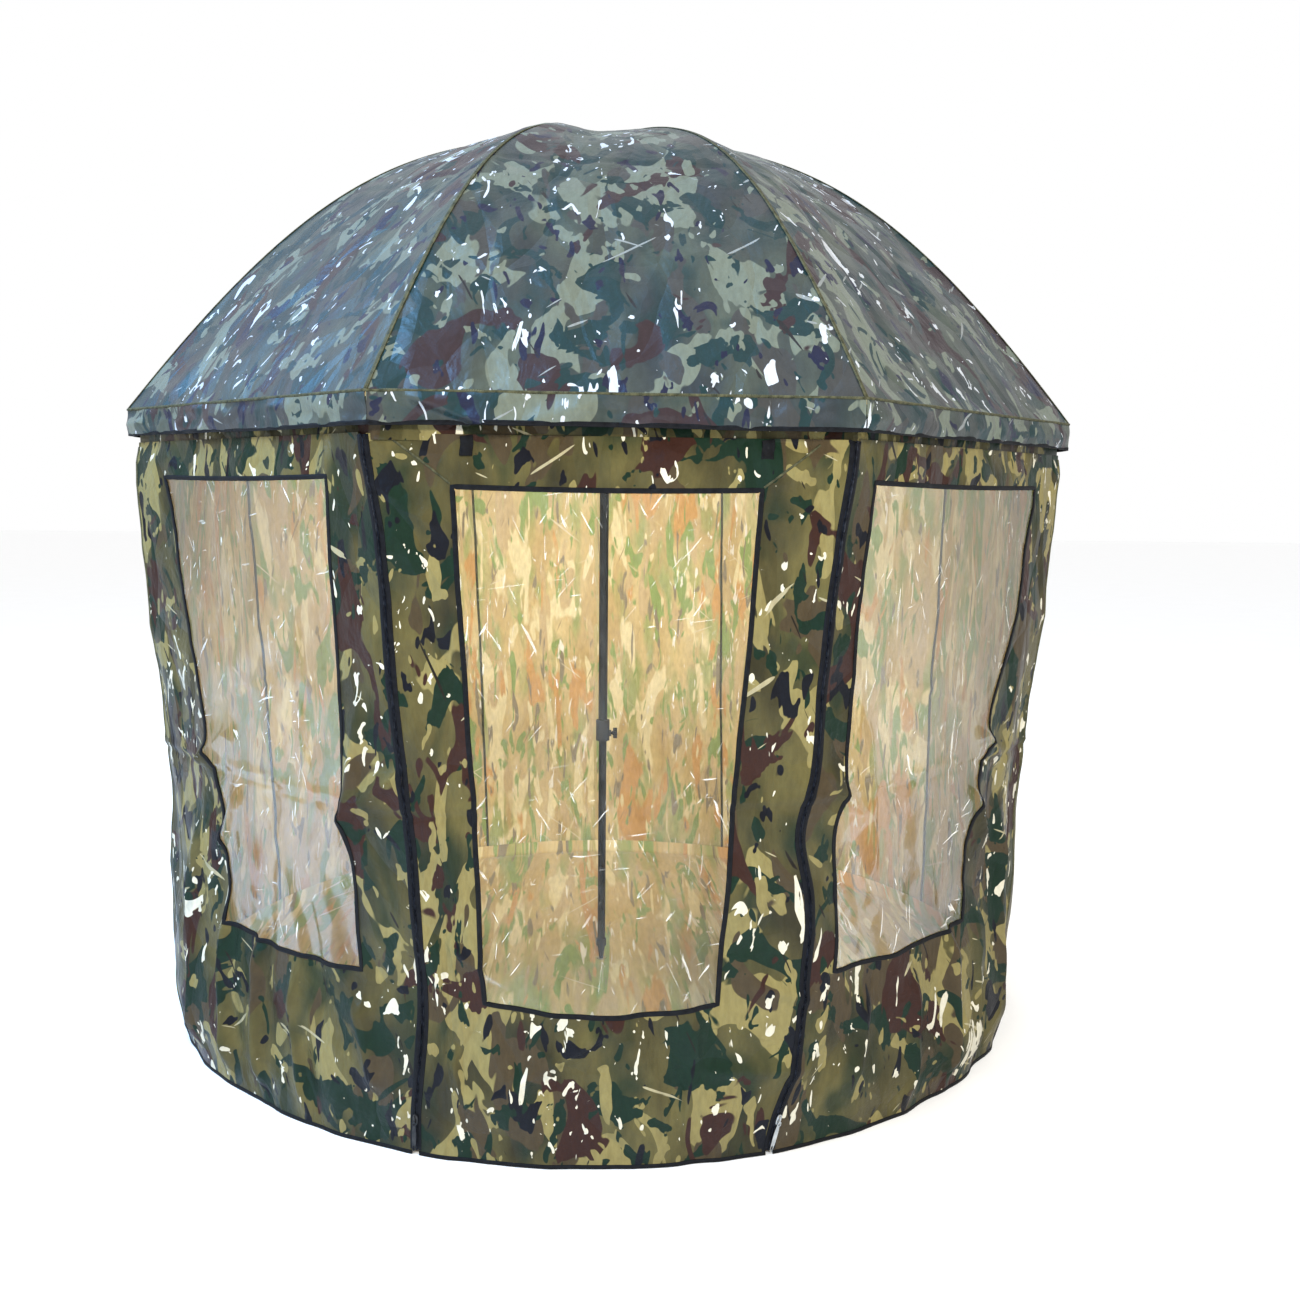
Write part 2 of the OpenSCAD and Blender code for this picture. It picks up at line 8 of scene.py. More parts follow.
import bmesh
import bpy
import numpy as np
from mathutils import Matrix, Vector
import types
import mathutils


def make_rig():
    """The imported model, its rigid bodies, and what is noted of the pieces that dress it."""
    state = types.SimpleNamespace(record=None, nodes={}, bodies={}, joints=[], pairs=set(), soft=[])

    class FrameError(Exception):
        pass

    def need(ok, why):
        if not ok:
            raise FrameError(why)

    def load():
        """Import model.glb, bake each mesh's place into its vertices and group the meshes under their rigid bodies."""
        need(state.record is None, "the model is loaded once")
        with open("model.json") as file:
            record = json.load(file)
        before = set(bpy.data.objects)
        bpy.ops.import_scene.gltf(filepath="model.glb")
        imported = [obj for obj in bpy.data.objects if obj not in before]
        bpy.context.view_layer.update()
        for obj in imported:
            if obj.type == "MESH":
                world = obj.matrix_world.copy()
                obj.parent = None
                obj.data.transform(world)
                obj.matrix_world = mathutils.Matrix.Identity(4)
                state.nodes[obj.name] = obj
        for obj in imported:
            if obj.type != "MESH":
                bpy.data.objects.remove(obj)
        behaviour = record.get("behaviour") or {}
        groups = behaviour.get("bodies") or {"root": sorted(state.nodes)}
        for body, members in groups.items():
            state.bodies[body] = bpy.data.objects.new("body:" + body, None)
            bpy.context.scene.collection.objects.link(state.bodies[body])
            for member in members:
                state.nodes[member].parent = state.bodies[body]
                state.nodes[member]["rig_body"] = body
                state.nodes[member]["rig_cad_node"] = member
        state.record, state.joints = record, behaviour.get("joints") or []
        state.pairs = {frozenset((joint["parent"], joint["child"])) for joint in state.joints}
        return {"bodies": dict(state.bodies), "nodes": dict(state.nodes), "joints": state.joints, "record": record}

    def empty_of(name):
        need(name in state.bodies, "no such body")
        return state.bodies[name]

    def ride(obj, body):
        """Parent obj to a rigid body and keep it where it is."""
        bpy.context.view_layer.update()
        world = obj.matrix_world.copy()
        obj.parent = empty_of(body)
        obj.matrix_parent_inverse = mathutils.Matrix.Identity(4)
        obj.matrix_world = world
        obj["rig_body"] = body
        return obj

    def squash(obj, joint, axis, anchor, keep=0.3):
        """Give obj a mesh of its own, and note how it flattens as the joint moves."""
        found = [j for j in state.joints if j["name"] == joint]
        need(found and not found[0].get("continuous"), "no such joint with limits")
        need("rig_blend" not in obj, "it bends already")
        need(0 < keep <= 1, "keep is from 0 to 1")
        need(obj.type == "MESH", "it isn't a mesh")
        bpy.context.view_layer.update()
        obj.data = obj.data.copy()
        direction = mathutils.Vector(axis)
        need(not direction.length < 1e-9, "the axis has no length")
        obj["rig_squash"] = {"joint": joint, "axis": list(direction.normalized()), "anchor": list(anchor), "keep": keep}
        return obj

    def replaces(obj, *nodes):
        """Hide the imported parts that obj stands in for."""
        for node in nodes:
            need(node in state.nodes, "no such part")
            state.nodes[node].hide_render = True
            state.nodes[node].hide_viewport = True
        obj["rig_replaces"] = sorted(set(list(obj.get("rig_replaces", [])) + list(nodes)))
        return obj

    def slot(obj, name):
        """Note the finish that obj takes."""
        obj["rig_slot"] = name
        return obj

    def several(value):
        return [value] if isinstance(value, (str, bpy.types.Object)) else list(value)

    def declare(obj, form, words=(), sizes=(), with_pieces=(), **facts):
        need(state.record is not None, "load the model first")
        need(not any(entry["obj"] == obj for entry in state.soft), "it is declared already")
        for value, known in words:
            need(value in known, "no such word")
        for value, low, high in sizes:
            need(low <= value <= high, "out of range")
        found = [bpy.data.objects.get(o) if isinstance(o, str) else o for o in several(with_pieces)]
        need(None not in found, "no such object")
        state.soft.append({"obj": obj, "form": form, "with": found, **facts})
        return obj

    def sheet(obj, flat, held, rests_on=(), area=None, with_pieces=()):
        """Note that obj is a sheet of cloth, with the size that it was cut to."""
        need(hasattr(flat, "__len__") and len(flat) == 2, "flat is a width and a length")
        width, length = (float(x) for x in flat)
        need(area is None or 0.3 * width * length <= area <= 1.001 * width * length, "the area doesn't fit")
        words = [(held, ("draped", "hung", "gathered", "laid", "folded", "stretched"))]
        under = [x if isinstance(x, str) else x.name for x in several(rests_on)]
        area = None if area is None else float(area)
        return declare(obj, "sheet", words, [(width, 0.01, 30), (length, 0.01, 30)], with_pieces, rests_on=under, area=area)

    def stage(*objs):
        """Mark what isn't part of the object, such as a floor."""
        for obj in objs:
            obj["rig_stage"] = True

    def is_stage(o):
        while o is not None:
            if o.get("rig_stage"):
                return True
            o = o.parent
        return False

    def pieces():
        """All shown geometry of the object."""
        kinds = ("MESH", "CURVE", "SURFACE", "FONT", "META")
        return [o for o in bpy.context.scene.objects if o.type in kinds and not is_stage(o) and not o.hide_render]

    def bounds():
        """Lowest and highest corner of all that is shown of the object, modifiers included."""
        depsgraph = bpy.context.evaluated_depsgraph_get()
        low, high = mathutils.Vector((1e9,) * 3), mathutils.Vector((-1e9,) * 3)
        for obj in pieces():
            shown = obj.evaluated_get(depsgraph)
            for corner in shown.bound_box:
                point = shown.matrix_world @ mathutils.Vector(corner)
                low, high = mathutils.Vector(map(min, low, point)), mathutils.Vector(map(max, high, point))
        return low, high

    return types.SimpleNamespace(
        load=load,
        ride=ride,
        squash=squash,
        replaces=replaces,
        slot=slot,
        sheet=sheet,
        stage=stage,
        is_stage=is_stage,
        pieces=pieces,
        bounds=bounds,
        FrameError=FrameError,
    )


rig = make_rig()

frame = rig.load()
cad_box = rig.bounds()

# ---- sizes, as in the CAD source
RIBS = 8
STEP = 360 / RIBS
HALF = STEP / 2
EAVE_R, EAVE_Z, CROWN_Z = 1.2, 1.508, 2.262
VALANCE_H = 0.068
PANEL_SAG = 0.010
WALL_R, WALL_TOP = 1.180, 1.432
DOOR_TOP = 1.430
HEADER_TOP = 1.498
HEM_R = 1.116
PANEL_W = 2 * WALL_R * math.sin(math.radians(HALF))
HEM_CORNERS = [-20.6, 16.6, 64.5, 110, 155, 201, 246, 291.5, 339.4]      # azimuths
ZIP_GAP = 0.009           # from a zip's middle to the cloth beside it
CLOTH_T = 0.0009
FOLD = "canopy_fold"
WALL_KEEP = 0.06          # how flat the walls lie when the umbrella is folded
GORE_KEEP = 0.12          # how narrow a canopy section gets along its rib
UP = np.array([0.0, 0.0, 1.0])
FLAT = np.array([1, 1, 0])
SIDES = {-1: "left", 1: "right"}


# ---- small maths
def lerp(a, b, t):
    return a + (b - a) * t


def smooth(low, high, x):
    """0 below low, 1 above high, and an S between them."""
    t = np.clip((x - low) / (high - low), 0, 1)
    return t * t * (3 - 2 * t)


def bump(x, centre, width):
    return np.exp(-(((x - centre) / width) ** 2))


def stack(*coordinates):
    return np.stack(np.broadcast_arrays(*coordinates), -1)


def at(r, azimuth, z):
    """Points at a radius, an azimuth in degrees and a height."""
    turn = np.radians(azimuth)
    return stack(r * np.sin(turn), -r * np.cos(turn), z)


def through(x, knots):
    """A smooth curve through (x, y) knots."""
    xs, ys = (np.array(v, float) for v in zip(*knots))
    slopes = np.gradient(ys, xs)
    i = np.clip(np.searchsorted(xs, x, "right") - 1, 0, len(xs) - 2)
    h = xs[i + 1] - xs[i]
    t = np.clip((x - xs[i]) / h, 0, 1)
    rise = (ys[i + 1] - ys[i]) * (3 * t ** 2 - 2 * t ** 3)
    lean = h * (slopes[i] * (t - 2 * t ** 2 + t ** 3) + slopes[i + 1] * (t ** 3 - t ** 2))
    return ys[i] + rise + lean


def noise(x, y, seed):
    """Smooth random heights from -1 to 1, about one bump to a unit."""
    table = np.random.RandomState(seed).uniform(-1, 1, (256, 256))
    x, y = np.broadcast_arrays(x, y)
    i, j = np.floor(x).astype(int), np.floor(y).astype(int)
    u, v = (w ** 3 * (w * (w * 6 - 15) + 10) for w in (x - i, y - j))
    row0 = lerp(table[i % 256, j % 256], table[(i + 1) % 256, j % 256], u)
    row1 = lerp(table[i % 256, (j + 1) % 256], table[(i + 1) % 256, (j + 1) % 256], u)
    return lerp(row0, row1, v)


def crumple(x, y, seed):
    """Heights from 0 to 1 with sharp creases between shallow hollows, as in crumpled film."""
    random = np.random.RandomState(seed)
    px, py = random.uniform(0, 1, (2, 128, 128))
    x, y = np.broadcast_arrays(x + 0.35 * noise(x / 2, y / 2, seed + 1),
                               y + 0.35 * noise(x / 2, y / 2, seed + 2))
    i, j = np.floor(x).astype(int), np.floor(y).astype(int)
    nearest = np.ones(x.shape)
    for di in (-1, 0, 1):
        for dj in (-1, 0, 1):
            a, b = (i + di) % 128, (j + dj) % 128
            gap = np.hypot(i + di + px[a, b] - x, j + dj + py[a, b] - y)
            nearest = np.minimum(nearest, gap)
    return nearest


def fold(a, z, a0, z0, a1, z1, width, height):
    """A crease from (a0, z0) to (a1, z1) that fades at its ends."""
    run_a, run_z = a1 - a0, z1 - z0
    length = math.hypot(run_a, run_z)
    along = ((a - a0) * run_a + (z - z0) * run_z) / length ** 2
    across = ((a - a0) * run_z - (z - z0) * run_a) / length
    ends = smooth(0, 0.25, along) * smooth(0, 0.25, 1 - along)
    return height * ends / (1 + (across / width) ** 2)


# ---- meshes
def unit(v):
    return v / np.maximum(np.linalg.norm(v, axis=-1, keepdims=True), 1e-12)


def normals_of(points):
    """Outward normals of a grid whose rows run down and columns run right, seen from outside."""
    down, right = np.gradient(points, axis=(0, 1))
    return unit(np.cross(down, right))


def new_piece(name, points, faces, uvs, materials, material_of=None, normals=None):
    """An object in the row frame. uvs has a pair for each vertex, in metres on the cloth."""
    mesh = bpy.data.meshes.new(name)
    mesh.from_pydata(points.tolist(), [], faces)
    for material in materials:
        mesh.materials.append(material)
    if material_of is not None:
        mesh.polygons.foreach_set("material_index", np.asarray(material_of, np.int32))
    loops = np.zeros(len(mesh.loops), np.int32)
    mesh.loops.foreach_get("vertex_index", loops)
    layer = mesh.uv_layers.new(name="UVMap")
    layer.data.foreach_set("uv", np.asarray(uvs, np.float32)[loops].ravel())
    mesh.polygons.foreach_set("use_smooth", np.ones(len(mesh.polygons), bool))
    if normals is not None:
        mesh.normals_split_custom_set_from_vertices(normals.tolist())
    mesh.validate()
    piece = bpy.data.objects.new(name, mesh)
    bpy.context.scene.collection.objects.link(piece)
    return piece


def shell(name, points, uv, materials, thickness=CLOTH_T, keep=None, normals=None):
    """A closed thin sheet over a grid of points. keep says which cells are cloth. The first
    material is outside and the second inside."""
    rows, cols = points.shape[:2]
    normals = normals_of(points) if normals is None else normals
    keep = np.ones((rows - 1, cols - 1), bool) if keep is None else keep
    index = np.arange(rows * cols).reshape(rows, cols)
    a, b, c, d = (index[:-1, :-1], index[1:, :-1], index[1:, 1:], index[:-1, 1:])
    front = np.stack([a, b, c, d], -1)[keep]
    padded = np.pad(keep, 1)
    rims = []
    for cells, first, second in ((padded[:-2, 1:-1], d, a), (padded[2:, 1:-1], b, c),
                                 (padded[1:-1, :-2], a, b), (padded[1:-1, 2:], c, d)):
        edge = keep & ~cells
        rims.append(np.stack([second[edge], first[edge]], -1))
    rims = np.concatenate(rims)
    used = np.unique(front)
    count = len(used)
    outer, out = points.reshape(-1, 3)[used], normals.reshape(-1, 3)[used]
    front, rims = np.searchsorted(used, front), np.searchsorted(used, rims)
    back = front[:, [0, 3, 2, 1]] + count
    sides = np.stack([rims[:, 0], rims[:, 1], rims[:, 1] + count, rims[:, 0] + count], -1)
    faces = front.tolist() + back.tolist() + sides.tolist()
    material_of = [0] * len(front) + [1] * len(front) + [0] * len(rims)
    uvs = uv.reshape(-1, 2)[used]
    return new_piece(name, np.concatenate([outer, outer - out * thickness]), faces,
                     np.concatenate([uvs, uvs]), materials, material_of,
                     np.concatenate([out, -out]))


def ring_faces(a, b, count):
    """Faces between two rings of count points. a and b are the rings' first points."""
    return [(a + i, a + (i + 1) % count, b + (i + 1) % count, b + i) for i in range(count)]


def tape(name, path, normals, width, height, material, closed=False, sides=None, sink=0.4):
    """A flat band with bevelled edges swept along a path on a surface. normals point off the
    surface, sides are the directions across the band, and sink is the share of its height below
    the path."""
    normals = unit(normals)
    if closed:
        ahead, behind = np.roll(path, -1, 0), np.roll(path, 1, 0)
    else:
        ahead, behind = np.vstack([path[1:], path[-1:]]), np.vstack([path[:1], path[:-1]])
    if sides is None:
        sides = unit(np.cross(normals, unit(ahead - behind)))
    bevel = 0.35
    top, edge = 1 - sink, 0.5 - bevel * height / width
    outline = [(-0.5, -sink), (-0.5, top - bevel), (-edge, top), (edge, top), (0.5, top - bevel),
               (0.5, -sink)]
    rings = np.stack([path + sides * width * x + normals * height * y for x, y in outline], 1)
    n, m = rings.shape[:2]
    along = np.concatenate([[0], np.cumsum(np.linalg.norm(np.diff(path, axis=0), axis=1))])
    uvs = stack(along[:, None], [[x * width for x, _ in outline]])
    faces = []
    for i in range(n if closed else n - 1):
        faces += ring_faces(i * m, (i + 1) % n * m, m)
    if not closed:
        faces += [tuple(range(m - 1, -1, -1)), tuple(range((n - 1) * m, n * m))]
    return new_piece(name, rings.reshape(-1, 3), faces, uvs.reshape(-1, 2), [material])


def carried(piece, slot, body):
    """Gives a piece its finish and its body."""
    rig.slot(piece, slot)
    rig.ride(piece, body)


def on_wall(piece, slot="wall_cloth", body="upper_pole", keep=WALL_KEEP):
    """The walls hang from the umbrella and drop in a heap as it folds."""
    carried(piece, slot, body)
    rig.squash(piece, FOLD, axis=(0, 0, 1), anchor=(0, 0, 0), keep=keep)


def on_rib(piece, slot, k):
    """A canopy section gathers along its rib as the umbrella folds."""
    turn = math.radians(rib_azimuth(k))
    carried(piece, slot, f"rib_{k}")
    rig.squash(piece, FOLD, axis=(math.cos(turn), math.sin(turn), 0), anchor=(0, 0, 0),
              keep=GORE_KEEP)


def rib_azimuth(k):
    return HALF + STEP * (k - 1)


# ---- materials
def srgb(*colour):
    """A linear colour from 0-255 display values."""
    values = [c / 255 for c in colour]
    return tuple(c / 12.92 if c <= 0.04045 else ((c + 0.055) / 1.055) ** 2.4 for c in values) + (1,)


class Graph:
    """A material's node tree with short calls for the nodes used here."""

    def __init__(self, name):
        self.material = bpy.data.materials.new(name)
        self.material.use_nodes = True
        self.tree = self.material.node_tree
        self.shader = self.tree.nodes["Principled BSDF"]
        self.output = self.tree.nodes["Material Output"]

    def link(self, source, target):
        if hasattr(source, "is_output"):
            self.tree.links.new(source, target)
        else:
            target.default_value = source

    def node(self, kind, inputs=(), **settings):
        made = self.tree.nodes.new("ShaderNode" + kind)
        for key, value in settings.items():
            setattr(made, key, value)
        for key, value in dict(inputs).items():
            self.link(value, made.inputs[key])
        return made

    def uv(self, scale=(1, 1, 1), shift=(0, 0, 0), turn=0.0):
        """The cloth's own coordinates in metres, turned by some degrees, scaled and shifted."""
        source = self.node("UVMap", uv_map="UVMap").outputs[0]
        if turn:
            angle = (0, 0, math.radians(turn))
            source = self.node("Mapping", {"Vector": source, "Rotation": angle}).outputs[0]
        return self.node("Mapping", {"Vector": source, "Scale": scale,
                                     "Location": shift}).outputs[0]

    def noise(self, vector, scale, detail=2.0, rough=0.5, bend=0.0):
        return self.node("TexNoise", {"Vector": vector, "Scale": scale, "Detail": detail,
                                      "Roughness": rough, "Distortion": bend}).outputs["Fac"]

    def waves(self, vector, scale, direction="X"):
        return self.node("TexWave", {"Vector": vector, "Scale": scale},
                         bands_direction=direction).outputs["Fac"]

    def bent(self, vector, scale, amount):
        """vector pushed about by noise, by up to amount."""
        push = self.node("TexNoise", {"Vector": vector, "Scale": scale}).outputs["Color"]
        return self.node("VectorMath", {0: push, 1: (amount, amount, 0), 2: vector},
                         operation="MULTIPLY_ADD").outputs[0]

    def math(self, operation, a, b=0.0):
        return self.node("Math", {0: a, 1: b}, operation=operation).outputs[0]

    def span(self, value, low, high, to_low=0.0, to_high=1.0):
        """value from low to high, read as to_low to to_high and held beyond them."""
        return self.node("MapRange", {"Value": value, "From Min": low, "From Max": high,
                                      "To Min": to_low, "To Max": to_high}).outputs[0]

    def mix(self, share, a, b, blend="MIX"):
        made = self.node("Mix", data_type="RGBA", blend_type=blend)
        self.link(share, made.inputs["Factor"])
        self.link(a, made.inputs["A"])
        self.link(b, made.inputs["B"])
        return made.outputs["Result"]

    def bump(self, height, strength, distance, normal=None):
        made = self.node("Bump", {"Height": height, "Strength": strength, "Distance": distance})
        if normal is not None:
            self.link(normal, made.inputs["Normal"])
        return made.outputs[0]

    def surface(self, **values):
        """Sets the Principled shader's sockets, named with _ for a space."""
        for key, value in values.items():
            self.link(value, self.shader.inputs[key.replace("_", " ")])
        return self.material


def palette(*colours):
    """The print's inks by name."""
    names = "base shade glow green brown mud slate pale twig straw".split()
    return {name: srgb(*colour) for name, colour in zip(names, colours)}


OUTSIDE = palette((86, 79, 45), (44, 41, 25), (120, 110, 68), (15, 34, 22), (46, 26, 19),
                  (62, 52, 35), (11, 12, 18), (194, 188, 168), (26, 21, 15), (150, 142, 112))
# The canopy's own print, in inks tinted bluer and lighter than the walls': painted sky reflection over the cloth's
# print.
CANOPY_SKY_TINTED = palette((62, 69, 60), (37, 43, 46), (92, 99, 87), (13, 40, 42), (40, 28, 31),
                 (50, 51, 50), (14, 18, 42), (174, 178, 182), (25, 24, 26), (120, 125, 124))
# The inside's inks: the print's paler back, made brighter and warmer as painted light shining through the cloth.
INSIDE_BACKLIT = palette((208, 186, 138), (190, 164, 116), (222, 206, 164), (142, 158, 98),
                 (200, 156, 102), (194, 170, 130), (142, 130, 108), (232, 224, 212),
                 (154, 132, 98), (214, 200, 172))


def camo_colour(g, colours, tall, fine, edge_width):
    """The printed camouflage: an airbrushed khaki and green ground, hard-edged blobs that run up
    the cloth, thin twigs and pale flecks in groups. tall draws the print out upwards, fine makes it
    smaller, and edge_width softens its edges."""

    def field(scale, detail, bend, aspect, shift=(0, 0, 0), turn=0.0):
        place = g.uv(scale=(1, aspect / tall, 1), shift=shift, turn=turn)
        return g.noise(place, scale * fine, detail, 0.5, bend)

    def print_on(colour, name, height, edge):
        return g.mix(g.span(height, edge, edge + edge_width), colour, colours[name])

    colour = g.mix(g.span(field(6, 2, 0, 0.5), 0.38, 0.62), colours["base"], colours["shade"])
    colour = g.mix(g.span(field(8, 2, 0.4, 0.6, (7.7, 4.2, 0)), 0.50, 0.64, 0, 0.75), colour,
                   colours["green"])
    blobs = (
        ("glow", field(7.5, 2.6, 0.8, 0.6, (2.9, 3.9, 0)), 0.560),
        ("mud", field(8.5, 2.4, 0.6, 0.5), 0.590),
        ("green", field(9.5, 3.0, 0.9, 0.72, (7.7, 4.2, 0)), 0.578),
        ("brown", field(6.8, 3.2, 0.9, 0.62, (1.3, 9.4, 0)), 0.592),
        ("green", field(19, 2.2, 0.6, 0.6, (5.3, 2.1, 0)), 0.640),
        ("glow", field(19, 2.0, 0.5, 0.55, (6.1, 0.7, 0)), 0.648),
        ("slate", field(20, 2.2, 0.6, 0.5, (8.3, 6.6, 0)), 0.634),
    )
    for name, height, edge in blobs:
        colour = print_on(colour, name, height, edge)
    strokes = (("twig", -24, (0.5, 2.2, 0), 0.715), ("straw", 52, (6.4, 1.1, 0), 0.732),
               ("straw", -68, (1.4, 8.1, 0), 0.735))
    for name, turn, shift, edge in strokes:
        colour = print_on(colour, name, field(46, 1.6, 0.3, 0.11, shift, turn), edge)
    groups = g.span(field(3.6, 2, 0, 0.6, (9.2, 3.3, 0)), 0.40, 0.60, 0.06, -0.01)
    flecks = ((23, 0.42, (4.4, 0.9, 0), 0.660), (33, 0.55, (9.9, 5.5, 0), 0.668),
              (50, 0.75, (2.2, 7.1, 0), 0.735))
    for scale, aspect, shift, edge in flecks:
        height = g.math("SUBTRACT", field(scale, 2.4, 0.9, aspect, shift), groups)
        colour = print_on(colour, "pale", height, edge)
    worn = g.noise(g.uv(scale=(1, 0.34, 1), shift=(3.1, 1.7, 0)), 90, 3, 0.6)
    fade = g.mix(g.span(worn, 0.3, 0.7), (0.84, 0.84, 0.84, 1), (1.08, 1.08, 1.08, 1))
    return g.mix(1.0, colour, fade, "MULTIPLY")


def weave_bump(g, crinkle):
    """Fine plain weave, and crinkles and creases pressed into the coated cloth."""
    cloth = g.uv()
    warp, weft = (g.waves(cloth, 420, direction) for direction in "XY")
    threads = g.math("MAXIMUM", warp, weft)
    small = g.noise(cloth, 38, 4, 0.6, 0.8)
    hang = g.uv(scale=(1, 0.55, 1), shift=(1.7, 4.3, 0))
    crease = g.node("TexVoronoi", {"Vector": g.bent(hang, 5, 0.09), "Scale": 7.5},
                    feature="DISTANCE_TO_EDGE").outputs["Distance"]
    large = g.math("ADD", g.noise(hang, 12, 3, 0.55, 0.6), g.span(crease, 0.0, 0.22, 0, 0.8))
    fine = g.bump(small, crinkle, 0.0022, g.bump(threads, 0.12, 0.0004))
    return g.bump(large, crinkle, 0.015, fine)


def camo_cloth(name, colours, rough=(0.36, 0.52), crinkle=0.8, gloss=0.16, sheen=0.02, tall=1.0,
               fine=1.0, soft=0.006):
    """Coated polyester: printed, a little glossy, with a sheen."""
    g = Graph(name)
    roughness = g.span(g.noise(g.uv(), 11, 3), 0.3, 0.7, *rough)
    return g.surface(Base_Color=camo_colour(g, colours, tall, fine, soft), Roughness=roughness,
                     Normal=weave_bump(g, crinkle), Sheen_Weight=sheen, Sheen_Roughness=0.35,
                     Specular_IOR_Level=gloss)


def woven_tape(name, colour, light, stitched):
    """Binding or webbing: ribs across it, and two rows of stitches at stitched from its middle."""
    g = Graph(name)
    along, across, _ = g.node("SeparateXYZ", {0: g.uv()}).outputs
    row = g.math("ABSOLUTE", g.math("SUBTRACT", g.math("ABSOLUTE", across), stitched))
    dash = g.math("PINGPONG", along, 0.0023)
    thread = g.math("MULTIPLY", g.span(row, 0.0003, 0.0006, 1, 0), g.span(dash, 0.0006, 0.0009))
    worn = g.noise(g.uv(), 60, 3, 0.6)
    tone = g.mix(thread, g.mix(g.span(worn, 0.35, 0.75), colour, light), light)
    height = g.math("ADD", g.math("MULTIPLY", g.waves(g.uv(), 190), 0.4), thread)
    return g.surface(Base_Color=tone, Roughness=g.span(worn, 0.3, 0.7, 0.5, 0.75),
                     Normal=g.bump(height, 0.5, 0.0004), Specular_IOR_Level=0.12)


def hard(name, colour, light, rough, scale, metallic=0.0):
    """Paint, plastic or metal: a slight change of tone, worn spots and a fine grain."""
    g = Graph(name)
    place = g.node("TexCoord").outputs["Object"]
    blotch = g.noise(place, scale / 8, 4, 0.6)
    fine = g.noise(place, scale, 3, 0.6)
    tone = g.mix(g.span(blotch, 0.45, 0.8), colour, light)
    return g.surface(Base_Color=tone, Metallic=metallic, Normal=g.bump(fine, 0.25, 0.0003),
                     Specular_IOR_Level=0.5 if metallic else 0.3,
                     Roughness=g.span(blotch, 0.3, 0.75, rough, rough + 0.2))


def clear_film():
    """Window film: clear and glossy, with creases that glint, painted white glints drawn as fine scratch-like streaks
    where it is most creased, and a little haze.
    """
    g = Graph("window_film")
    worked = g.span(g.noise(g.uv(), 5.5, 3, 0.6), 0.40, 0.62)
    ripple = g.noise(g.uv(scale=(1, 0.6, 1)), 30, 3, 0.6, 1.2)
    normal = g.bump(g.math("MULTIPLY", ripple, worked), 0.45, 0.005)
    clear = g.node("BsdfTransparent", {"Color": srgb(252, 253, 251)}).outputs[0]
    gloss = g.node("BsdfAnisotropic", {"Color": (0.9, 0.93, 1, 1), "Roughness": 0.16,
                                       "Normal": normal}).outputs[0]
    glint_white = g.node("BsdfDiffuse", {"Color": srgb(244, 243, 238), "Normal": normal}).outputs[0]
    facing = g.node("Fresnel", {"IOR": 1.33, "Normal": normal}).outputs[0]
    shine = g.span(facing, 0.02, 0.6, 0.008, 0.16)
    glossy_film = g.node("MixShader", {0: shine, 1: clear, 2: gloss}).outputs[0]
    # painted glints: white diffuse streaks, strongest where the film is most creased
    painted_glint_streaks = 0.0
    for turn, scale, long, edge in ((38, 95, 0.10, 0.70), (-27, 90, 0.09, 0.70),
                                    (4, 110, 0.08, 0.69), (82, 80, 0.09, 0.71)):
        place = g.uv(scale=(1, long, 1), turn=turn, shift=(turn / 9, 1.3, 0))
        streak = g.noise(place, scale, 2, 0.5, 1.1)
        painted_glint_streaks = g.math("MAXIMUM", painted_glint_streaks, g.span(streak, edge, edge + 0.03))
    painted_glints = g.math("MULTIPLY", painted_glint_streaks, g.math("MULTIPLY", worked, 0.5))
    haze = g.span(g.noise(g.uv(scale=(1, 0.35, 1)), 13, 4, 0.7, 0.6), 0.42, 0.8, 0.004, 0.035)
    white = g.math("MAXIMUM", painted_glints, haze)
    g.link(g.node("MixShader", {0: white, 1: glossy_film, 2: glint_white}).outputs[0],
           g.output.inputs["Surface"])
    g.tree.nodes.remove(g.shader)
    return g.material


# the canopy and the valance take the sky-tinted inks, a painted sky reflection
canopy_out = camo_cloth("canopy_camo", CANOPY_SKY_TINTED, (0.36, 0.50), 0.6, gloss=0.38)
wall_out = camo_cloth("wall_camo", OUTSIDE)
# the inside face takes the brightened inside inks: painted light shining through the cloth
cloth_in = camo_cloth("cloth_inside_backlit", INSIDE_BACKLIT, (0.6, 0.75), 0.3, sheen=0.3, tall=2.4, fine=1.5,
                      soft=0.035)
seam_cloth = woven_tape("seam_tape", srgb(40, 42, 30), srgb(92, 90, 66), 0.0028)
binding = woven_tape("binding_tape", srgb(9, 9, 10), srgb(26, 27, 30), 0.0030)
webbing = woven_tape("webbing", srgb(9, 9, 10), srgb(24, 24, 26), 0.0095)
zip_tape = woven_tape("zip_tape", srgb(8, 9, 11), srgb(24, 25, 30), 0.0042)
zip_coil = hard("zip_nylon", srgb(20, 22, 28), srgb(58, 62, 72), 0.26, 900)
slider_black = hard("slider_enamel", srgb(17, 17, 18), srgb(60, 58, 56), 0.28, 500, 0.3)
slider_steel = hard("slider_steel", srgb(170, 168, 162), srgb(210, 208, 202), 0.24, 500, 1.0)
film = clear_film()
CLOTH = [wall_out, cloth_in]

# ---- canopy


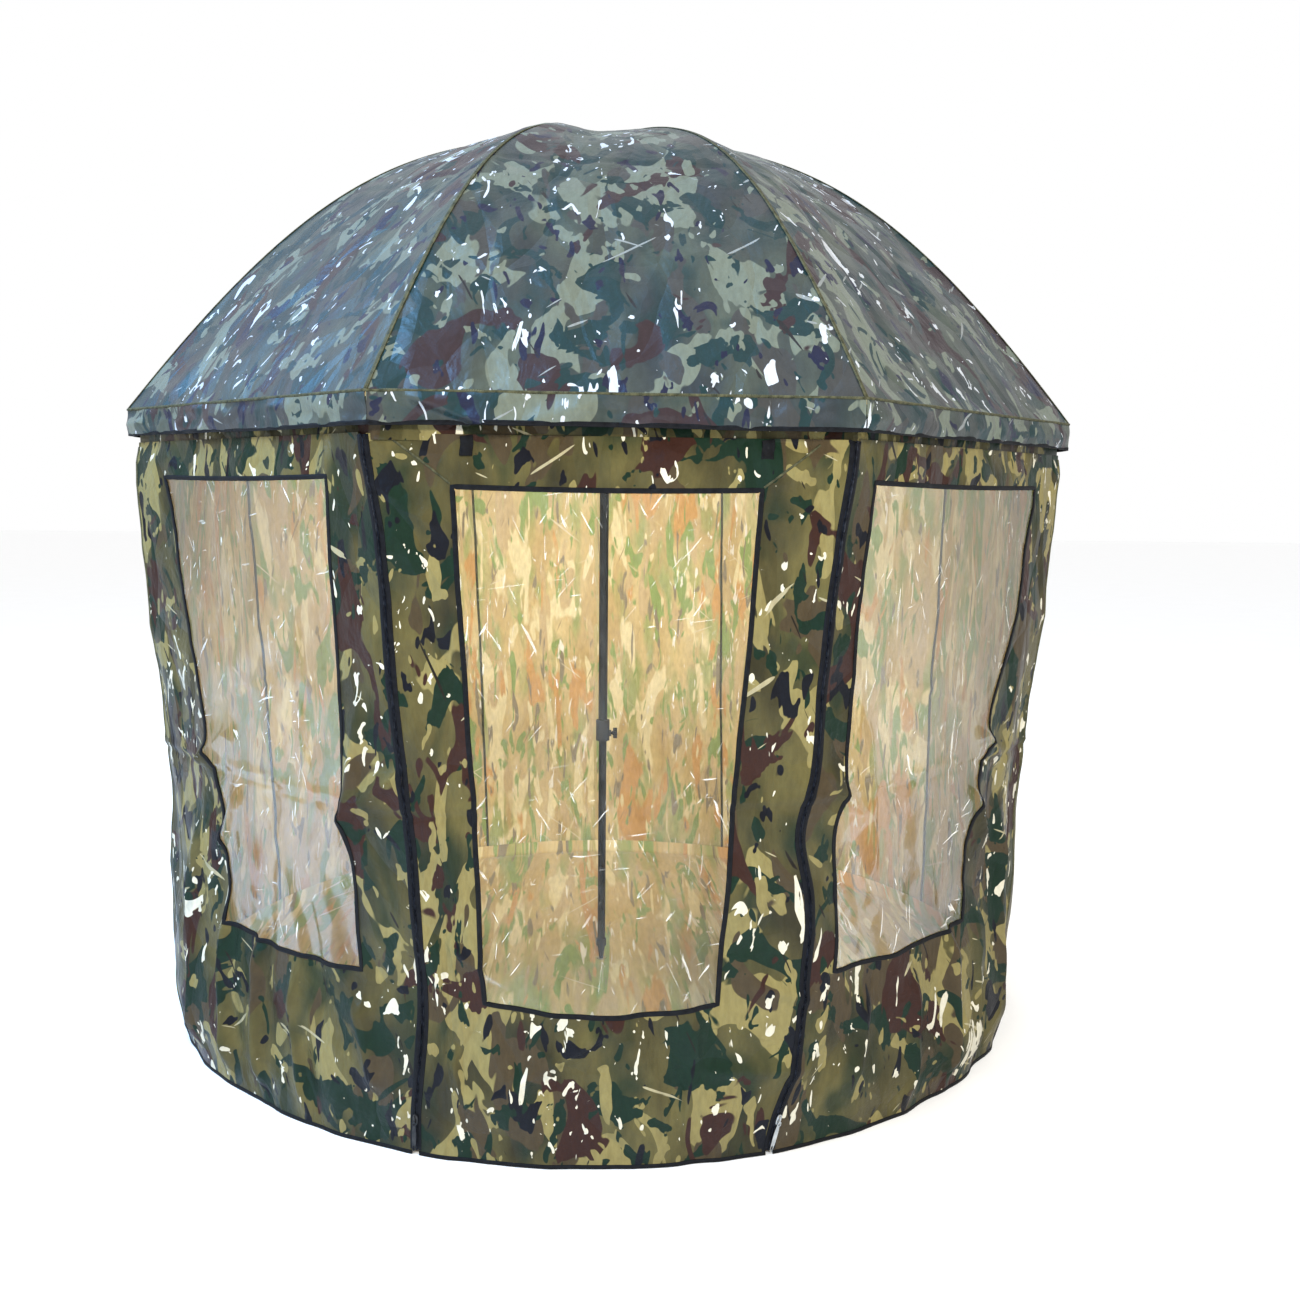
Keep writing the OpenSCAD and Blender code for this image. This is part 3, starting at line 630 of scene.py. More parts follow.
def profile(t):
    """Radius and height of the canopy's ribs from the crown, t 0, to the edge, t 1."""
    share_r = 3 * 0.42 * (1 - t) ** 2 * t + 3 * 0.62 * (1 - t) * t ** 2 + t ** 3
    share_z = (1 - t) ** 3 + 3 * 0.93 * (1 - t) ** 2 * t + 3 * 0.8 * (1 - t) * t ** 2
    return EAVE_R * share_r, EAVE_Z + (CROWN_Z - EAVE_Z) * share_z


T_FIRST = 0.012
GORE_ROWS, GORE_COLS = 116, 72      # cells down a canopy panel and across it
gore_t = np.linspace(T_FIRST, 1, GORE_ROWS + 1)
gore_r, gore_z = profile(gore_t)
gore_arc = np.concatenate([[0], np.cumsum(np.hypot(np.diff(gore_r), np.diff(gore_z)))])
GORE_W = 2 * EAVE_R * math.sin(math.radians(HALF))
GORE_AREA = float(np.trapz(GORE_W * gore_r / EAVE_R, gore_arc))


def between_ribs(panel, u, r, z):
    """Points straight across a panel at u, -1 at its left rib to 1 at its right."""
    left, right = (at(r, STEP * panel + side * HALF, z)[:, None, :] for side in (-1, 1))
    return left + (right - left) * (u[..., None] + 1) / 2


def canopy_panel(panel):
    """Points and UVs of the cloth between two ribs, sagging a little and finely creased."""
    u = np.linspace(-1, 1, GORE_COLS + 1)[None, :]
    t, r, arc = (v[:, None] for v in (gore_t, gore_r, gore_arc))
    points = between_ribs(panel, u, gore_r, gore_z)
    x = u * GORE_W / 2 * r / EAVE_R
    points[..., 2] -= PANEL_SAG * np.sin(np.pi * t) * (1 - u ** 2)
    loose = smooth(0, 0.10, 1 - np.abs(u)) * smooth(0, 0.12, t) * smooth(0, 0.02, 1 - t)
    seed = 40 + panel
    # here and below: height * noise(across / width, along / length, seed)
    relief = 0.0060 * noise(x / 0.16, arc / 0.38, seed)
    relief += 0.0030 * noise((x + 0.4 * arc) / 0.07, (arc - 0.4 * x) / 0.26, seed + 20)
    relief += 0.0034 * crumple(x / 0.11, arc / 0.22, seed + 40)
    relief += 0.0006 * crumple(x / 0.035, arc / 0.07, seed + 60)
    crease = 0.0035 * bump(arc, 0.72 + 0.02 * np.sin(5 * x + panel), 0.010)
    near_edge = smooth(0.70, 1, t) * 0.0045 * noise(x / 0.055, arc / 0.5, seed + 80)
    points = points + normals_of(points) * ((relief - crease + near_edge) * loose)[..., None]
    return points, stack(x + 3.7 * panel, -arc + 2.3 * panel)


def valance_panel(panel):
    """Points and UVs of the flounce under one canopy panel, from its seam to its bound edge."""
    rows, cols = 12, 96
    u = np.linspace(-1, 1, cols + 1)[None, :]
    v = np.linspace(0, 1, rows + 1)[:, None]
    points = between_ribs(panel, u, np.full(rows + 1, EAVE_R), 0.0)
    x = u * GORE_W / 2
    a = x + GORE_W * panel
    wave = 0.0035 * noise(a / 0.30, v / 3, 7)
    points[..., 2] = EAVE_Z - 0.001 - (VALANCE_H - 0.006 + wave * v) * v
    free = smooth(0, 0.5, v)
    out = free * 0.0050 * noise(a / 0.085, v * 0.5, 11)
    out += free * 0.0030 * noise((a + 0.05 * v) / 0.03, v, 12)
    out += 0.0080 * np.sin(np.pi * v) * noise((a + 0.05 * v) / 0.075, v * 1.4, 13)
    out += 0.0085 * np.sin(np.pi * v) * crumple((a - 0.04 * v) / 0.090, v * 1.5, 14)
    held = smooth(0, 0.035, 1 - np.abs(u))
    out = out * lerp(0.35, 1, held) + 0.002
    if panel == 0:      # a crease runs down from the left corner, and the cloth bulges beside it
        beside = (x + 0.43) / 0.17 - v
        out += 0.024 * v * smooth(-0.12, 0.14, beside) * np.exp(-np.clip(beside, 0, 9) / 1.3)
        out -= 0.004 * smooth(0.16, -0.10, beside)
        out += 0.010 * v * bump(x + 0.03 * v, 0.37, 0.055)
    points += at(1, STEP * panel, 0.0) * out[..., None]
    return points, stack(a + 1.9, 0.07 * (1 - v) + 5.1)


panels = [canopy_panel(p) for p in range(RIBS)]
flounces = [valance_panel(p) for p in range(RIBS)]


def section(grids, k):
    """Points, UVs and normals of the half panels on the two sides of rib k. The normals are the
    whole panels', so that the cut in the middle of a panel doesn't show."""
    before, after = grids[k - 1], grids[k % RIBS]
    middle = before[0].shape[1] // 2
    halves = (before, slice(middle, None)), (after, slice(0, middle + 1))
    return [(points[:, part], uv[:, part], normals_of(points)[:, part])
            for (points, uv), part in halves]


def joined_row(halves, item, row):
    """One row of a section's two halves, end to end: item 0 is its points, 2 its normals."""
    return np.concatenate([halves[0][item][row], halves[1][item][row][1:]])


def cloth_section(name, halves, materials):
    """Two shells as one piece, met at the rib."""
    pieces = [shell(f"{name}_{i}", points, uv, materials, normals=normals)
              for i, (points, uv, normals) in enumerate(halves)]
    bpy.ops.object.select_all(action="DESELECT")
    for piece in pieces:
        piece.select_set(True)
    bpy.context.view_layer.objects.active = pieces[0]
    bpy.ops.object.join()
    pieces[0].name = pieces[0].data.name = name
    return pieces[0]


for k in range(1, RIBS + 1):
    canopy = cloth_section(f"canopy_cloth_{k}", section(panels, k), [canopy_out, cloth_in])
    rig.replaces(canopy, f"canopy_{k}")
    on_rib(canopy, "canopy_cloth", k)
    rib_r, rib_z = profile(np.linspace(0.03, 1, 70))
    ridge = at(rib_r, rib_azimuth(k), rib_z + 0.0008)
    off = np.cross(np.gradient(ridge, axis=0), at(1, rib_azimuth(k) + 90, 0.0))
    seam = tape(f"rib_seam_{k}", ridge, off, 0.0085, 0.0024, seam_cloth)
    carried(seam, "canopy_cloth", f"rib_{k}")
    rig.sheet(canopy, flat=(GORE_W, float(gore_arc[-1])), area=GORE_AREA, held="stretched",
             rests_on=[f"rib_{k}"], with_pieces=[seam])

    halves = section(flounces, k)
    valance = cloth_section(f"valance_cloth_{k}", halves, [canopy_out, cloth_in])
    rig.replaces(valance, f"valance_{k}")
    on_rib(valance, "valance_cloth", k)
    top, foot, facing = (joined_row(halves, *item_row) for item_row in ((0, 0), (0, -1), (2, -1)))
    edge = tape(f"valance_binding_{k}", foot + 0.003 * UP, facing, 0.009, 0.0034, binding, sides=UP,
                sink=0.6)
    on_rib(edge, "binding_tape", k)
    # a seam bead where the canopy meets the valance, in dark tape whose darkness also paints the shadow line under the
    # canopy's edge
    bead = tape(f"eave_seam_and_shadow_{k}", top - 0.001 * UP, facing, 0.0055, 0.0042, seam_cloth, sides=UP,
                sink=0.45)
    on_rib(bead, "valance_cloth", k)
    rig.sheet(valance, flat=(GORE_W, VALANCE_H), held="hung", rests_on=[canopy.name],
             with_pieces=[edge, bead])

# ---- walls


def zip_drift(side, t):
    """How far the zip beside the door strays towards +X, from its top to the hem."""
    if side < 0:
        return through(t, [(0, -0.024), (0.14, 0.001), (0.24, 0.007), (0.36, 0.017),
                           (0.55, 0.032), (0.82, 0.033), (0.93, 0.010), (1, 0)])
    return through(t, [(0, -0.002), (0.14, -0.008), (0.3, -0.012), (0.45, -0.004), (0.53, -0.020),
                       (0.62, 0.016), (0.75, 0.031), (0.87, 0.024), (0.95, -0.004), (1, -0.004)])


def wall_relief(a, z):
    """How far the hanging cloth stands out at a distance a round from the front's middle."""
    low = smooth(1.1, 0.2, z)
    sidewards = smooth(0.5, 1.0, np.abs(a))
    out = -0.022 * sidewards * bump(z, 0.62, 0.34)
    out += 0.0070 * noise(a / 0.36 + 9, z / 0.55, 3) * smooth(WALL_TOP, 1.1, z)
    out += (0.0040 + 0.0140 * low * sidewards) * noise(a / 0.085, z / 0.75, 4)
    out += 0.0060 * low * noise((a + 0.35 * z) / 0.060, z / 0.45, 5)
    out += 0.0110 * crumple((a + 0.3 * z) / 0.16, z / 0.24, 6)
    out += 0.0026 * crumple(a / 0.060, z / 0.085, 8)
    level = 0.715 + 0.012 * np.sin(2.1 * a)
    out -= 0.0050 * bump(z, level, 0.007) * (0.6 + 0.4 * noise(a / 0.2, 0.5, 9))
    out += 0.0030 * bump(z, level + 0.016, 0.011)
    for crease in FOLDS:
        out = out + FOLD_GAIN * fold(a, z, *crease)
    return out * smooth(WALL_TOP, WALL_TOP - 0.05, z) * lerp(0.35, 1, smooth(0, 0.12, z))


# creases as a and z of the start, a and z of the end, width and height before FOLD_GAIN. a runs
# round the wall from the front's middle.
FOLD_GAIN = 1.35
FOLDS = (
    (-0.32, 0.1, 0.06, 0.33, 0.015, 0.012), (-0.35, 0.24, -0.28, 0.1, 0.013, 0.009),
    (0.16, 0.35, 0.15, 0.02, 0.013, 0.008), (0.16, 0.2, 0.42, 0.17, 0.014, 0.008),
    (-0.36, 0.47, -0.18, 0.36, 0.014, 0.009), (0.26, 0.37, 0.4, 0.31, 0.013, 0.008),
    (-0.46, 1.36, -0.32, 1.24, 0.012, 0.006), (0.28, 1.33, 0.42, 1.42, 0.012, 0.006),
    (-0.43, 0.8, -0.6, 0.66, 0.016, 0.016), (0.42, 0.8, 0.56, 0.66, 0.016, 0.016),
    (-0.52, 0.95, -0.58, 0.58, 0.016, 0.018), (0.52, 0.95, 0.59, 0.52, 0.016, 0.018),
    (-0.97, 0.82, -1.14, 0.7, 0.016, 0.018), (0.98, 0.82, 1.15, 0.7, 0.016, 0.018),
    (-0.96, 0.7, -1.06, 0.5, 0.015, 0.016), (0.97, 0.7, 1.08, 0.5, 0.015, 0.016),
    (-0.86, 0.42, -0.84, -0.02, 0.018, 0.03), (0.86, 0.42, 0.85, -0.02, 0.018, 0.03),
    (-1.0, 0.46, -0.97, -0.02, 0.017, 0.026), (1.0, 0.46, 0.98, -0.02, 0.017, 0.026),
    (-1.16, 0.62, -1.12, -0.02, 0.018, 0.024), (1.16, 0.62, 1.13, -0.02, 0.018, 0.024),
    (-0.56, 0.33, -0.5, 0.1, 0.018, 0.02), (0.57, 0.33, 0.52, 0.1, 0.016, 0.018),
    (-0.73, 0.36, -0.7, -0.02, 0.015, 0.018), (0.72, 0.36, 0.69, -0.02, 0.015, 0.018),
)
MEAN_R = 1.15


class Wall:
    """One wall panel as a surface over s, 0 to 1 from left to right seen from outside, and z."""

    def __init__(self, number, top=WALL_TOP):
        self.number, self.top = number, top
        self.hem = HEM_CORNERS[number], HEM_CORNERS[number + 1]
        self.right = at(1, STEP * number + 90, 0.0)

    def bare(self, s, z):
        """The cloth without its creases: straight at the top, and curved along the hem."""
        corner = STEP * self.number - HALF
        high = lerp(at(WALL_R, corner, WALL_TOP), at(WALL_R, corner + STEP, WALL_TOP), s[..., None])
        low = at(HEM_R, lerp(*self.hem, s), 0.0)
        return high + (low - high) * (1 - z / WALL_TOP)[..., None]

    def round(self, s, z):
        """Distance round the wall from the front's middle, for creases and the print."""
        t = 1 - z / WALL_TOP
        corner = STEP * self.number - HALF
        azimuth = lerp(corner + STEP * s, lerp(*self.hem, s), t)
        azimuth = np.where(azimuth > 180, azimuth - 360, azimuth)
        return np.radians(azimuth) * MEAN_R

    def share(self, x, z):
        """s of the point that lies x to the right of the panel's middle at height z."""
        x, z = np.broadcast_arrays(x, z)
        low, high = np.zeros(x.shape), np.ones(x.shape)
        for _ in range(26):
            middle = (low + high) / 2
            short = self.bare(middle, z) @ self.right < x
            low, high = np.where(short, middle, low), np.where(short, high, middle)
        return (low + high) / 2

    def points(self, s, z):
        """The hanging cloth, creased, and drawn aside along the zips."""
        points = self.bare(s, z)
        outward = unit(points * FLAT)
        for side, beside in ((-1, {7: s, 0: 1 - s}), (1, {0: s, 1: 1 - s})):
            if self.number in beside:
                drift = zip_drift(side, 1 - z / WALL_TOP) * smooth(0.80, 1.0, beside[self.number])
                points = points + at(1, side * HALF + 90, 0) * drift[..., None]
        return points + outward * wall_relief(self.round(s, z), z)[..., None]

    def uv(self, s, z):
        """Each panel starts the print at another place."""
        return stack(self.round(s, z) + 0.61 * self.number, z)


class Window:
    """A wall panel divided by its window: a and b count zones across and down, and the window is
    where both run from 1 to 2. left and right are x of its sides at its top and foot, low is z of
    its foot's two corners, bow is how far the foot sags between them, pinch is how far a crease
    draws the sides in, and trims are what the zips take off the panel's two sides."""

    def __init__(self, wall, left, right, top, low, bow, pinch, trims):
        self.wall, self.left, self.right = wall, left, right
        self.top, self.low, self.bow, self.pinch, self.trims = top, low, bow, pinch, trims

    def s_z(self, a, b):
        across = np.clip(a - 1, 0, 1)
        high = self.top - 0.004 * np.sin(np.pi * across)
        low = lerp(*self.low, across) - self.bow * np.sin(np.pi * across)
        z = np.where(b < 1, lerp(self.wall.top, high, b), lerp(high, low, b - 1))
        z = np.where(b > 2, lerp(low, 0.0, b - 2), z)
        share = np.clip((high - z) / (high - low), 0, 1)
        drawn = self.pinch * bump(z, 0.74, 0.055) * (high > z)
        s0, s3 = self.ends()
        s1 = self.wall.share(lerp(*self.left, share) + drawn, z)
        s2 = self.wall.share(lerp(*self.right, share) - drawn, z)
        s = np.where(a < 1, lerp(s0, s1, a), lerp(s1, s2, a - 1))
        return np.where(a > 2, lerp(s2, s3, a - 2), s), z

    def ends(self):
        """s at the cloth's left and right sides."""
        return self.trims[0] / PANEL_W, 1 - self.trims[1] / PANEL_W

    def points(self, a, b):
        return self.wall.points(*self.s_z(a, b))


def zones(*counts):
    """Zone numbers of grid lines, with counts cells in zone 0, zone 1 and so on."""
    lines = [i + np.arange(n) / n for i, n in enumerate(counts)]
    return np.concatenate(lines + [[len(counts)]])


def surface_path(surface, first, second):
    """Points along a line of a surface, with its normals, both found from small steps."""
    first, second = np.broadcast_arrays(first, second)
    step = 0.004
    points = surface(first, second)
    right = surface(first + step, second) - surface(first - step, second)
    down = surface(first, second + step) - surface(first, second - step)
    return points, unit(np.cross(down, right))


def outer_path(surface, first, second):
    """The same, for a strip on a wall's edge, with every normal turned to the outside."""
    path, facing = surface_path(surface, first, second)
    inwards = (facing * FLAT * path).sum(-1, keepdims=True) < 0
    return path, np.where(inwards, -facing, facing)


# rough sizes of the zones beside and below a window, and the film's lap over the cloth
BESIDE, BELOW, LAP = 0.12, 0.25, 0.010
WINDOW_CELLS = (22, 76, 22), (14, 130, 48)      # in each zone across and down
WINDOW_H, FILM_SHARE = 0.98, 0.86      # the share is what a slanting film fills of its rectangle


def windowed_wall(name, window, body):
    """The cloth round a window, the film in it and the binding on its edge."""
    wall = window.wall
    s, z = window.s_z(*np.meshgrid(*(zones(*cells) for cells in WINDOW_CELLS)))
    keep = np.ones(np.subtract(s.shape, 1), bool)
    across, down = (slice(cells[0], cells[0] + cells[1]) for cells in WINDOW_CELLS)
    keep[down, across] = False
    cloth = shell(f"{name}_cloth", wall.points(s, z), wall.uv(s, z), CLOTH, keep=keep)
    on_wall(cloth, body=body)

    over_a, over_b = LAP / BESIDE, LAP / BELOW
    a, b = np.meshgrid(np.linspace(1 - over_a, 2 + over_a * 0.9, 100),
                       np.linspace(1 - over_b, 2 + over_b * 0.9, 180))
    s, z = window.s_z(a, b)
    points, uv = wall.points(s, z), wall.uv(s, z)
    free = smooth(0, 0.06, np.minimum(a - 1, 2 - a)) * smooth(0, 0.04, np.minimum(b - 1, 2 - b))
    x, y = uv[..., 0], uv[..., 1]
    seed = 100 + wall.number
    relief = 0.0060 * crumple(x / 0.17, y / 0.24, seed)
    relief += 0.0016 * crumple(x / 0.055, y / 0.075, seed + 5)
    relief += 0.0016 * noise((x + 0.6 * y) / 0.06, (y - 0.6 * x) / 0.18, seed + 9) - 0.0045
    points = points + normals_of(points) * (relief * free - 0.0016)[..., None]
    pane = shell(f"{name}_window", points, uv, [film, film], thickness=0.0005)
    on_wall(pane, "window_film", body)

    turn = zones(69, 109, 69, 109)[:-1]      # a side of the window to each unit
    ring = (np.interp(turn, range(5), ends) for ends in ((1, 2, 2, 1, 1), (1, 1, 2, 2, 1)))
    path, facing = surface_path(window.points, *ring)
    trim = tape(f"{name}_window_binding", path, facing, 0.0100, 0.0034, binding, closed=True,
                sink=0.55)
    on_wall(trim, "binding_tape", body)
    width = abs(window.right[0] - window.left[0]) + 2 * LAP
    height = window.top - min(window.low) + 2 * LAP
    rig.sheet(pane, flat=(width, height), area=FILM_SHARE * width * height, held="hung",
             rests_on=[cloth.name], with_pieces=[trim])
    return cloth, pane


def hem_tape(name, wall, s0, s1, body="upper_pole"):
    """The black binding folded round the lower edge."""
    s = np.linspace(s0, s1, 80)
    path, facing = outer_path(lambda s, z: wall.points(s, np.abs(z)), s, 0.0045)
    piece = tape(name, path, facing, 0.009, 0.0038, binding, sides=UP, sink=0.6)
    on_wall(piece, "binding_tape", body)
    return piece


def cloth_flat(wall, cut=0.0):
    """Flat size and area of a panel, less its window."""
    hem = math.radians(wall.hem[1] - wall.hem[0]) * HEM_R
    return {"flat": (PANEL_W, WALL_TOP + 0.01), "area": (PANEL_W + hem) / 2 * WALL_TOP - cut}


door = Window(Wall(0, DOOR_TOP), (-0.306, -0.249), (0.270, 0.204), 1.334, (0.338, 0.330), 0.020,
              0.003, (ZIP_GAP, ZIP_GAP))
right_window = Window(Wall(1), (-0.379, -0.434), (0.325, 0.027), 1.352, (0.372, 0.376), 0.008,
                      0.004, (ZIP_GAP, 0.0))
left_window = Window(Wall(7), (-0.325, -0.0813), (0.306, 0.344), 1.352, (0.376, 0.372), 0.008,
                     0.004, (0.0, ZIP_GAP))
WINDOWED = (
    ("front", door, "front_door", "door_panel", "door_window", "door_hem"),
    ("front_right", right_window, "upper_pole", "wall_front_right", "side_windows", "hem_binding"),
    ("front_left", left_window, "upper_pole", "wall_front_left", "side_windows", "hem_binding"),
)
for name, window, body, *nodes in WINDOWED:
    cloth, pane = windowed_wall(name, window, body)
    hem = hem_tape(f"{name}_hem", window.wall, *window.ends(), body)
    for piece, node in zip((cloth, pane, hem), nodes):
        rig.replaces(piece, node)
    cut = abs(sum(window.right) - sum(window.left)) / 2 * WINDOW_H
    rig.sheet(cloth, held="hung", with_pieces=[hem], **cloth_flat(window.wall, cut),
             rests_on=["wall_header_cloth"] if body == "upper_pole" else ["upper_pole"])

PLAIN = {2: "right", 3: "back_right", 4: "back", 5: "back_left", 6: "left"}
for number, name in PLAIN.items():
    wall = Wall(number)
    s, z = np.meshgrid(np.linspace(0, 1, 86), np.linspace(WALL_TOP, 0, 136))
    cloth = shell(f"{name}_cloth", wall.points(s, z), wall.uv(s, z), CLOTH)
    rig.replaces(cloth, f"wall_{name}")
    on_wall(cloth)
    hem = hem_tape(f"{name}_hem", wall, 0, 1)
    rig.sheet(cloth, held="hung", rests_on=["wall_header_cloth"], with_pieces=[hem],
             **cloth_flat(wall))

# seams between the panels, with the raw edges bound inside
for number in range(1, RIBS - 1):
    path, _ = surface_path(Wall(number).points, 1.0, np.linspace(WALL_TOP - 0.01, 0.012, 120))
    outward = unit(path * FLAT)
    seam = tape(f"wall_seam_{number}", path + outward * 0.0004, outward, 0.0075, 0.0065, seam_cloth,
                sink=0.82)
    on_wall(seam)

# stitched tucks from the tops of the zips to the corners of the door's window, as (x, z)
TUCKS = {-1: ((-0.400, 1.420), (-0.309, 1.339)), 1: ((0.380, 1.420), (0.273, 1.339))}
for side, (start, end) in TUCKS.items():
    x, z = (lerp(*ends, np.linspace(0, 1, 40)) for ends in zip(start, end))
    path, facing = surface_path(door.wall.points, door.wall.share(x, z), z)
    tuck = tape(f"tuck_{SIDES[side]}", path, facing, 0.0042, 0.0022, seam_cloth, sink=0.5)
    on_wall(tuck, body="front_door")

# the band behind the valance that the walls are sewn to
HEADER_FOOT = WALL_TOP - 0.014
HEADER_R = WALL_R * 0.9975      # just inside the walls
corners = at(HEADER_R, HALF + STEP * np.arange(RIBS + 1), 0.0)
along = np.linspace(0, RIBS, RIBS * 40 + 1)
ring = np.stack([np.interp(along, range(RIBS + 1), c) for c in corners.T], -1)
header = ring[None] + np.linspace(HEADER_TOP, HEADER_FOOT, 6)[:, None, None] * UP
header_uv = stack(along[None] * 0.9, np.linspace(0.07, 0, 6)[:, None])
header_out = np.broadcast_to(unit(ring * FLAT)[None], header.shape)
band = shell("wall_header_cloth", header, header_uv, CLOTH, normals=header_out)
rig.replaces(band, "wall_header")
on_wall(band)
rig.sheet(band, flat=(RIBS * PANEL_W, HEADER_TOP - HEADER_FOOT), held="stretched",
         rests_on=["canopy_cloth_1"])

# the groundsheet, with an eyelet round the pole's foot
SHEET_R = 1.106
radii, turns = np.linspace(0.0075, SHEET_R, 90)[:, None], np.linspace(0, 360, 241)[None, :]
sheet = at(radii, turns, 0.0)
x, y = sheet[..., 0], sheet[..., 1]
ruck = 0.0060 * crumple(x / 0.34, y / 0.30, 61) + 0.0025 * crumple(x / 0.10, y / 0.09, 62)
ruck += 0.0040 * (1 + noise(x / 0.5, y / 0.22, 63))
rise = 0.034 * smooth(SHEET_R - 0.05, SHEET_R, radii) ** 2      # it rides up the wall
sheet[..., 2] = 0.0010 + ruck * smooth(0.02, 0.12, radii) * smooth(0, 0.10, SHEET_R - radii) + rise
# its top takes the brightened inside inks, with their painted light
ground = shell("groundsheet_cloth", sheet, stack(x + 8.3, 0.45 * y + 4.9), [cloth_in, wall_out],
               thickness=0.0008)
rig.replaces(ground, "groundsheet")
on_wall(ground, body="lower_pole", keep=0.03)      # the fallen wall presses it flat
eyelet = tape("eyelet", at(0.0105, np.arange(0, 360, 7.5), 0.0016), UP, 0.0065, 0.0016,
              slider_steel, closed=True)
carried(eyelet, "bright_steel", "lower_pole")
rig.sheet(ground, flat=(2 * SHEET_R, 2 * SHEET_R), area=math.pi * SHEET_R ** 2, held="laid",
         with_pieces=[eyelet])

# ---- zips
ZIP_TOP = DOOR_TOP - 0.002
COIL_PITCH = 0.0016
# what a zip's half is made of: (part, its middle's distance from the zip's middle, width, height,
# steps down it, material, sink)
ZIP_PARTS = (("tape", 0.0068, 0.0120, 0.0026, 150, zip_tape, 0.5),
             ("coil", 0.0016, 0.0030, 0.0044, int(ZIP_TOP / COIL_PITCH), zip_coil, 0.3))


def crimp(piece, phase):
    """Turns a plain band into coil teeth: every other ring is drawn in."""
    mesh = piece.data
    co = np.zeros(len(mesh.vertices) * 3, np.float32)
    mesh.vertices.foreach_get("co", co)
    rings = co.reshape(-1, 6, 3)      # six points in a tape's outline
    middle = rings.mean(1, keepdims=True)
    size = np.where(np.arange(len(rings)) % 2 == phase, 0.62, 1.12)[:, None, None]
    rings[:] = middle + (rings - middle) * size
    mesh.vertices.foreach_set("co", rings.ravel())
    mesh.update()


def zip_half(side, half):
    """The tape and coil on one side of a zip. half is -1 for the side towards -X."""
    number = {(-1, -1): 7, (-1, 1): 0, (1, -1): 0, (1, 1): 1}[side, half]
    owner, body = ("wall", "upper_pole") if number else ("door", "front_door")
    for part, offset, width, height, steps, material, sink in ZIP_PARTS:
        s = (0.0 if half > 0 else 1.0) + half * offset / PANEL_W
        path, facing = outer_path(Wall(number).points, s, np.linspace(ZIP_TOP, 0.012, steps))
        piece = tape(f"zip_{SIDES[side]}_{owner}_{part}", path, facing, width, height, material,
                     sink=sink)
        if part == "coil":
            crimp(piece, 0 if half > 0 else 1)
        on_wall(piece, "zip_nylon", body)


for side in SIDES:
    for half in (-1, 1):
        zip_half(side, half)
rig.replaces(bpy.data.objects["zip_left_wall_tape"], "zip_chains")

# ---- sliders and ties


def plate(outline, hole, depth, lift):
    """Points and faces of a flat plate in X and Z with a hole, from lift outwards to depth."""
    count = len(outline)
    layers = [(outline, lift), (outline, lift + depth), (hole, lift + depth), (hole, lift)]
    points = np.concatenate([[(x, -y, z) for x, z in ring] for ring, y in layers])
    faces = []
    for layer in range(4):
        faces += ring_faces(layer * count, (layer + 1) % 4 * count, count)
    return points, faces


def oval(width, height, z):
    """Points round an oval with full shoulders, z above the slider's foot."""
    count, power = 28, 2.6
    turn = 2 * np.pi * np.arange(count) / count
    x, y = (np.sign(v) * np.abs(v) ** (2 / power) for v in (np.cos(turn), np.sin(turn)))
    return np.stack([width / 2 * x, z + height / 2 * y], -1)


def pillow(width, height, z, depth, lift):
    """Points and faces of an oval plate with rounded edges."""
    layers = [(0.02, 0), (0.75, 0), (1, 0.3), (1, 0.7), (0.75, 1), (0.02, 1)]
    shape = oval(width, height, z)
    count, centre = len(shape), np.array([0, z])
    points = np.concatenate([[(x, -lift - depth * y, z)
                              for x, z in centre + (shape - centre) * size] for size, y in layers])
    faces = []
    for layer in range(5):
        faces += ring_faces(layer * count, (layer + 1) * count, count)
    faces += [tuple(range(count - 1, -1, -1)), tuple(range(5 * count, 6 * count))]
    return points, faces


def gather(name, parts, material):
    """One piece of several parts, each its points and faces."""
    points, faces, start = [], [], 0
    for part_points, part_faces in parts:
        points.append(part_points)
        faces += [tuple(i + start for i in face) for face in part_faces]
        start += len(part_points)
    points = np.concatenate(points)
    piece = new_piece(name, points, faces, points[:, [0, 2]], [material])
    bm = bmesh.new()
    bm.from_mesh(piece.data)
    bmesh.ops.recalc_face_normals(bm, faces=bm.faces)
    bm.to_mesh(piece.data)
    bm.free()
    piece.data.set_sharp_from_angle(angle=math.radians(40))
    return piece


def zip_slider(side, material):
    """A slider body on the zip, the bridge over it and the pull tab that hangs from it."""
    body = pillow(0.0115, 0.024, 0.083, 0.0052, 0.0032)
    bridge = pillow(0.0045, 0.020, 0.083, 0.0046, 0.0072)
    tab = plate(oval(0.0090, 0.062, 0.046), oval(0.0038, 0.010, 0.022), 0.0017, 0.0090)
    ring = plate(oval(0.0085, 0.011, 0.077), oval(0.0046, 0.0065, 0.077), 0.0015, 0.0108)
    piece = gather(f"slider_{SIDES[side]}", [body, bridge, tab, ring], material)
    low, high = 0.03, 0.12
    foot, head = Wall(0).points(np.full(2, max(side, 0.0)), np.array([low, high]))
    up = unit(head - foot)
    facing = at(1, side * 20.5, 0.0)
    facing = unit(facing - up * (facing @ up))
    columns = np.cross(-facing, up), -facing, up, foot - up * low
    piece.data.transform(Matrix([[*row] for row in zip(*columns)] + [[0, 0, 0, 1]]))
    node = f"zip_slider_{SIDES[side]}"
    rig.replaces(piece, node)
    carried(piece, "zip_metal", node)


zip_slider(-1, slider_black)
zip_slider(1, slider_steel)

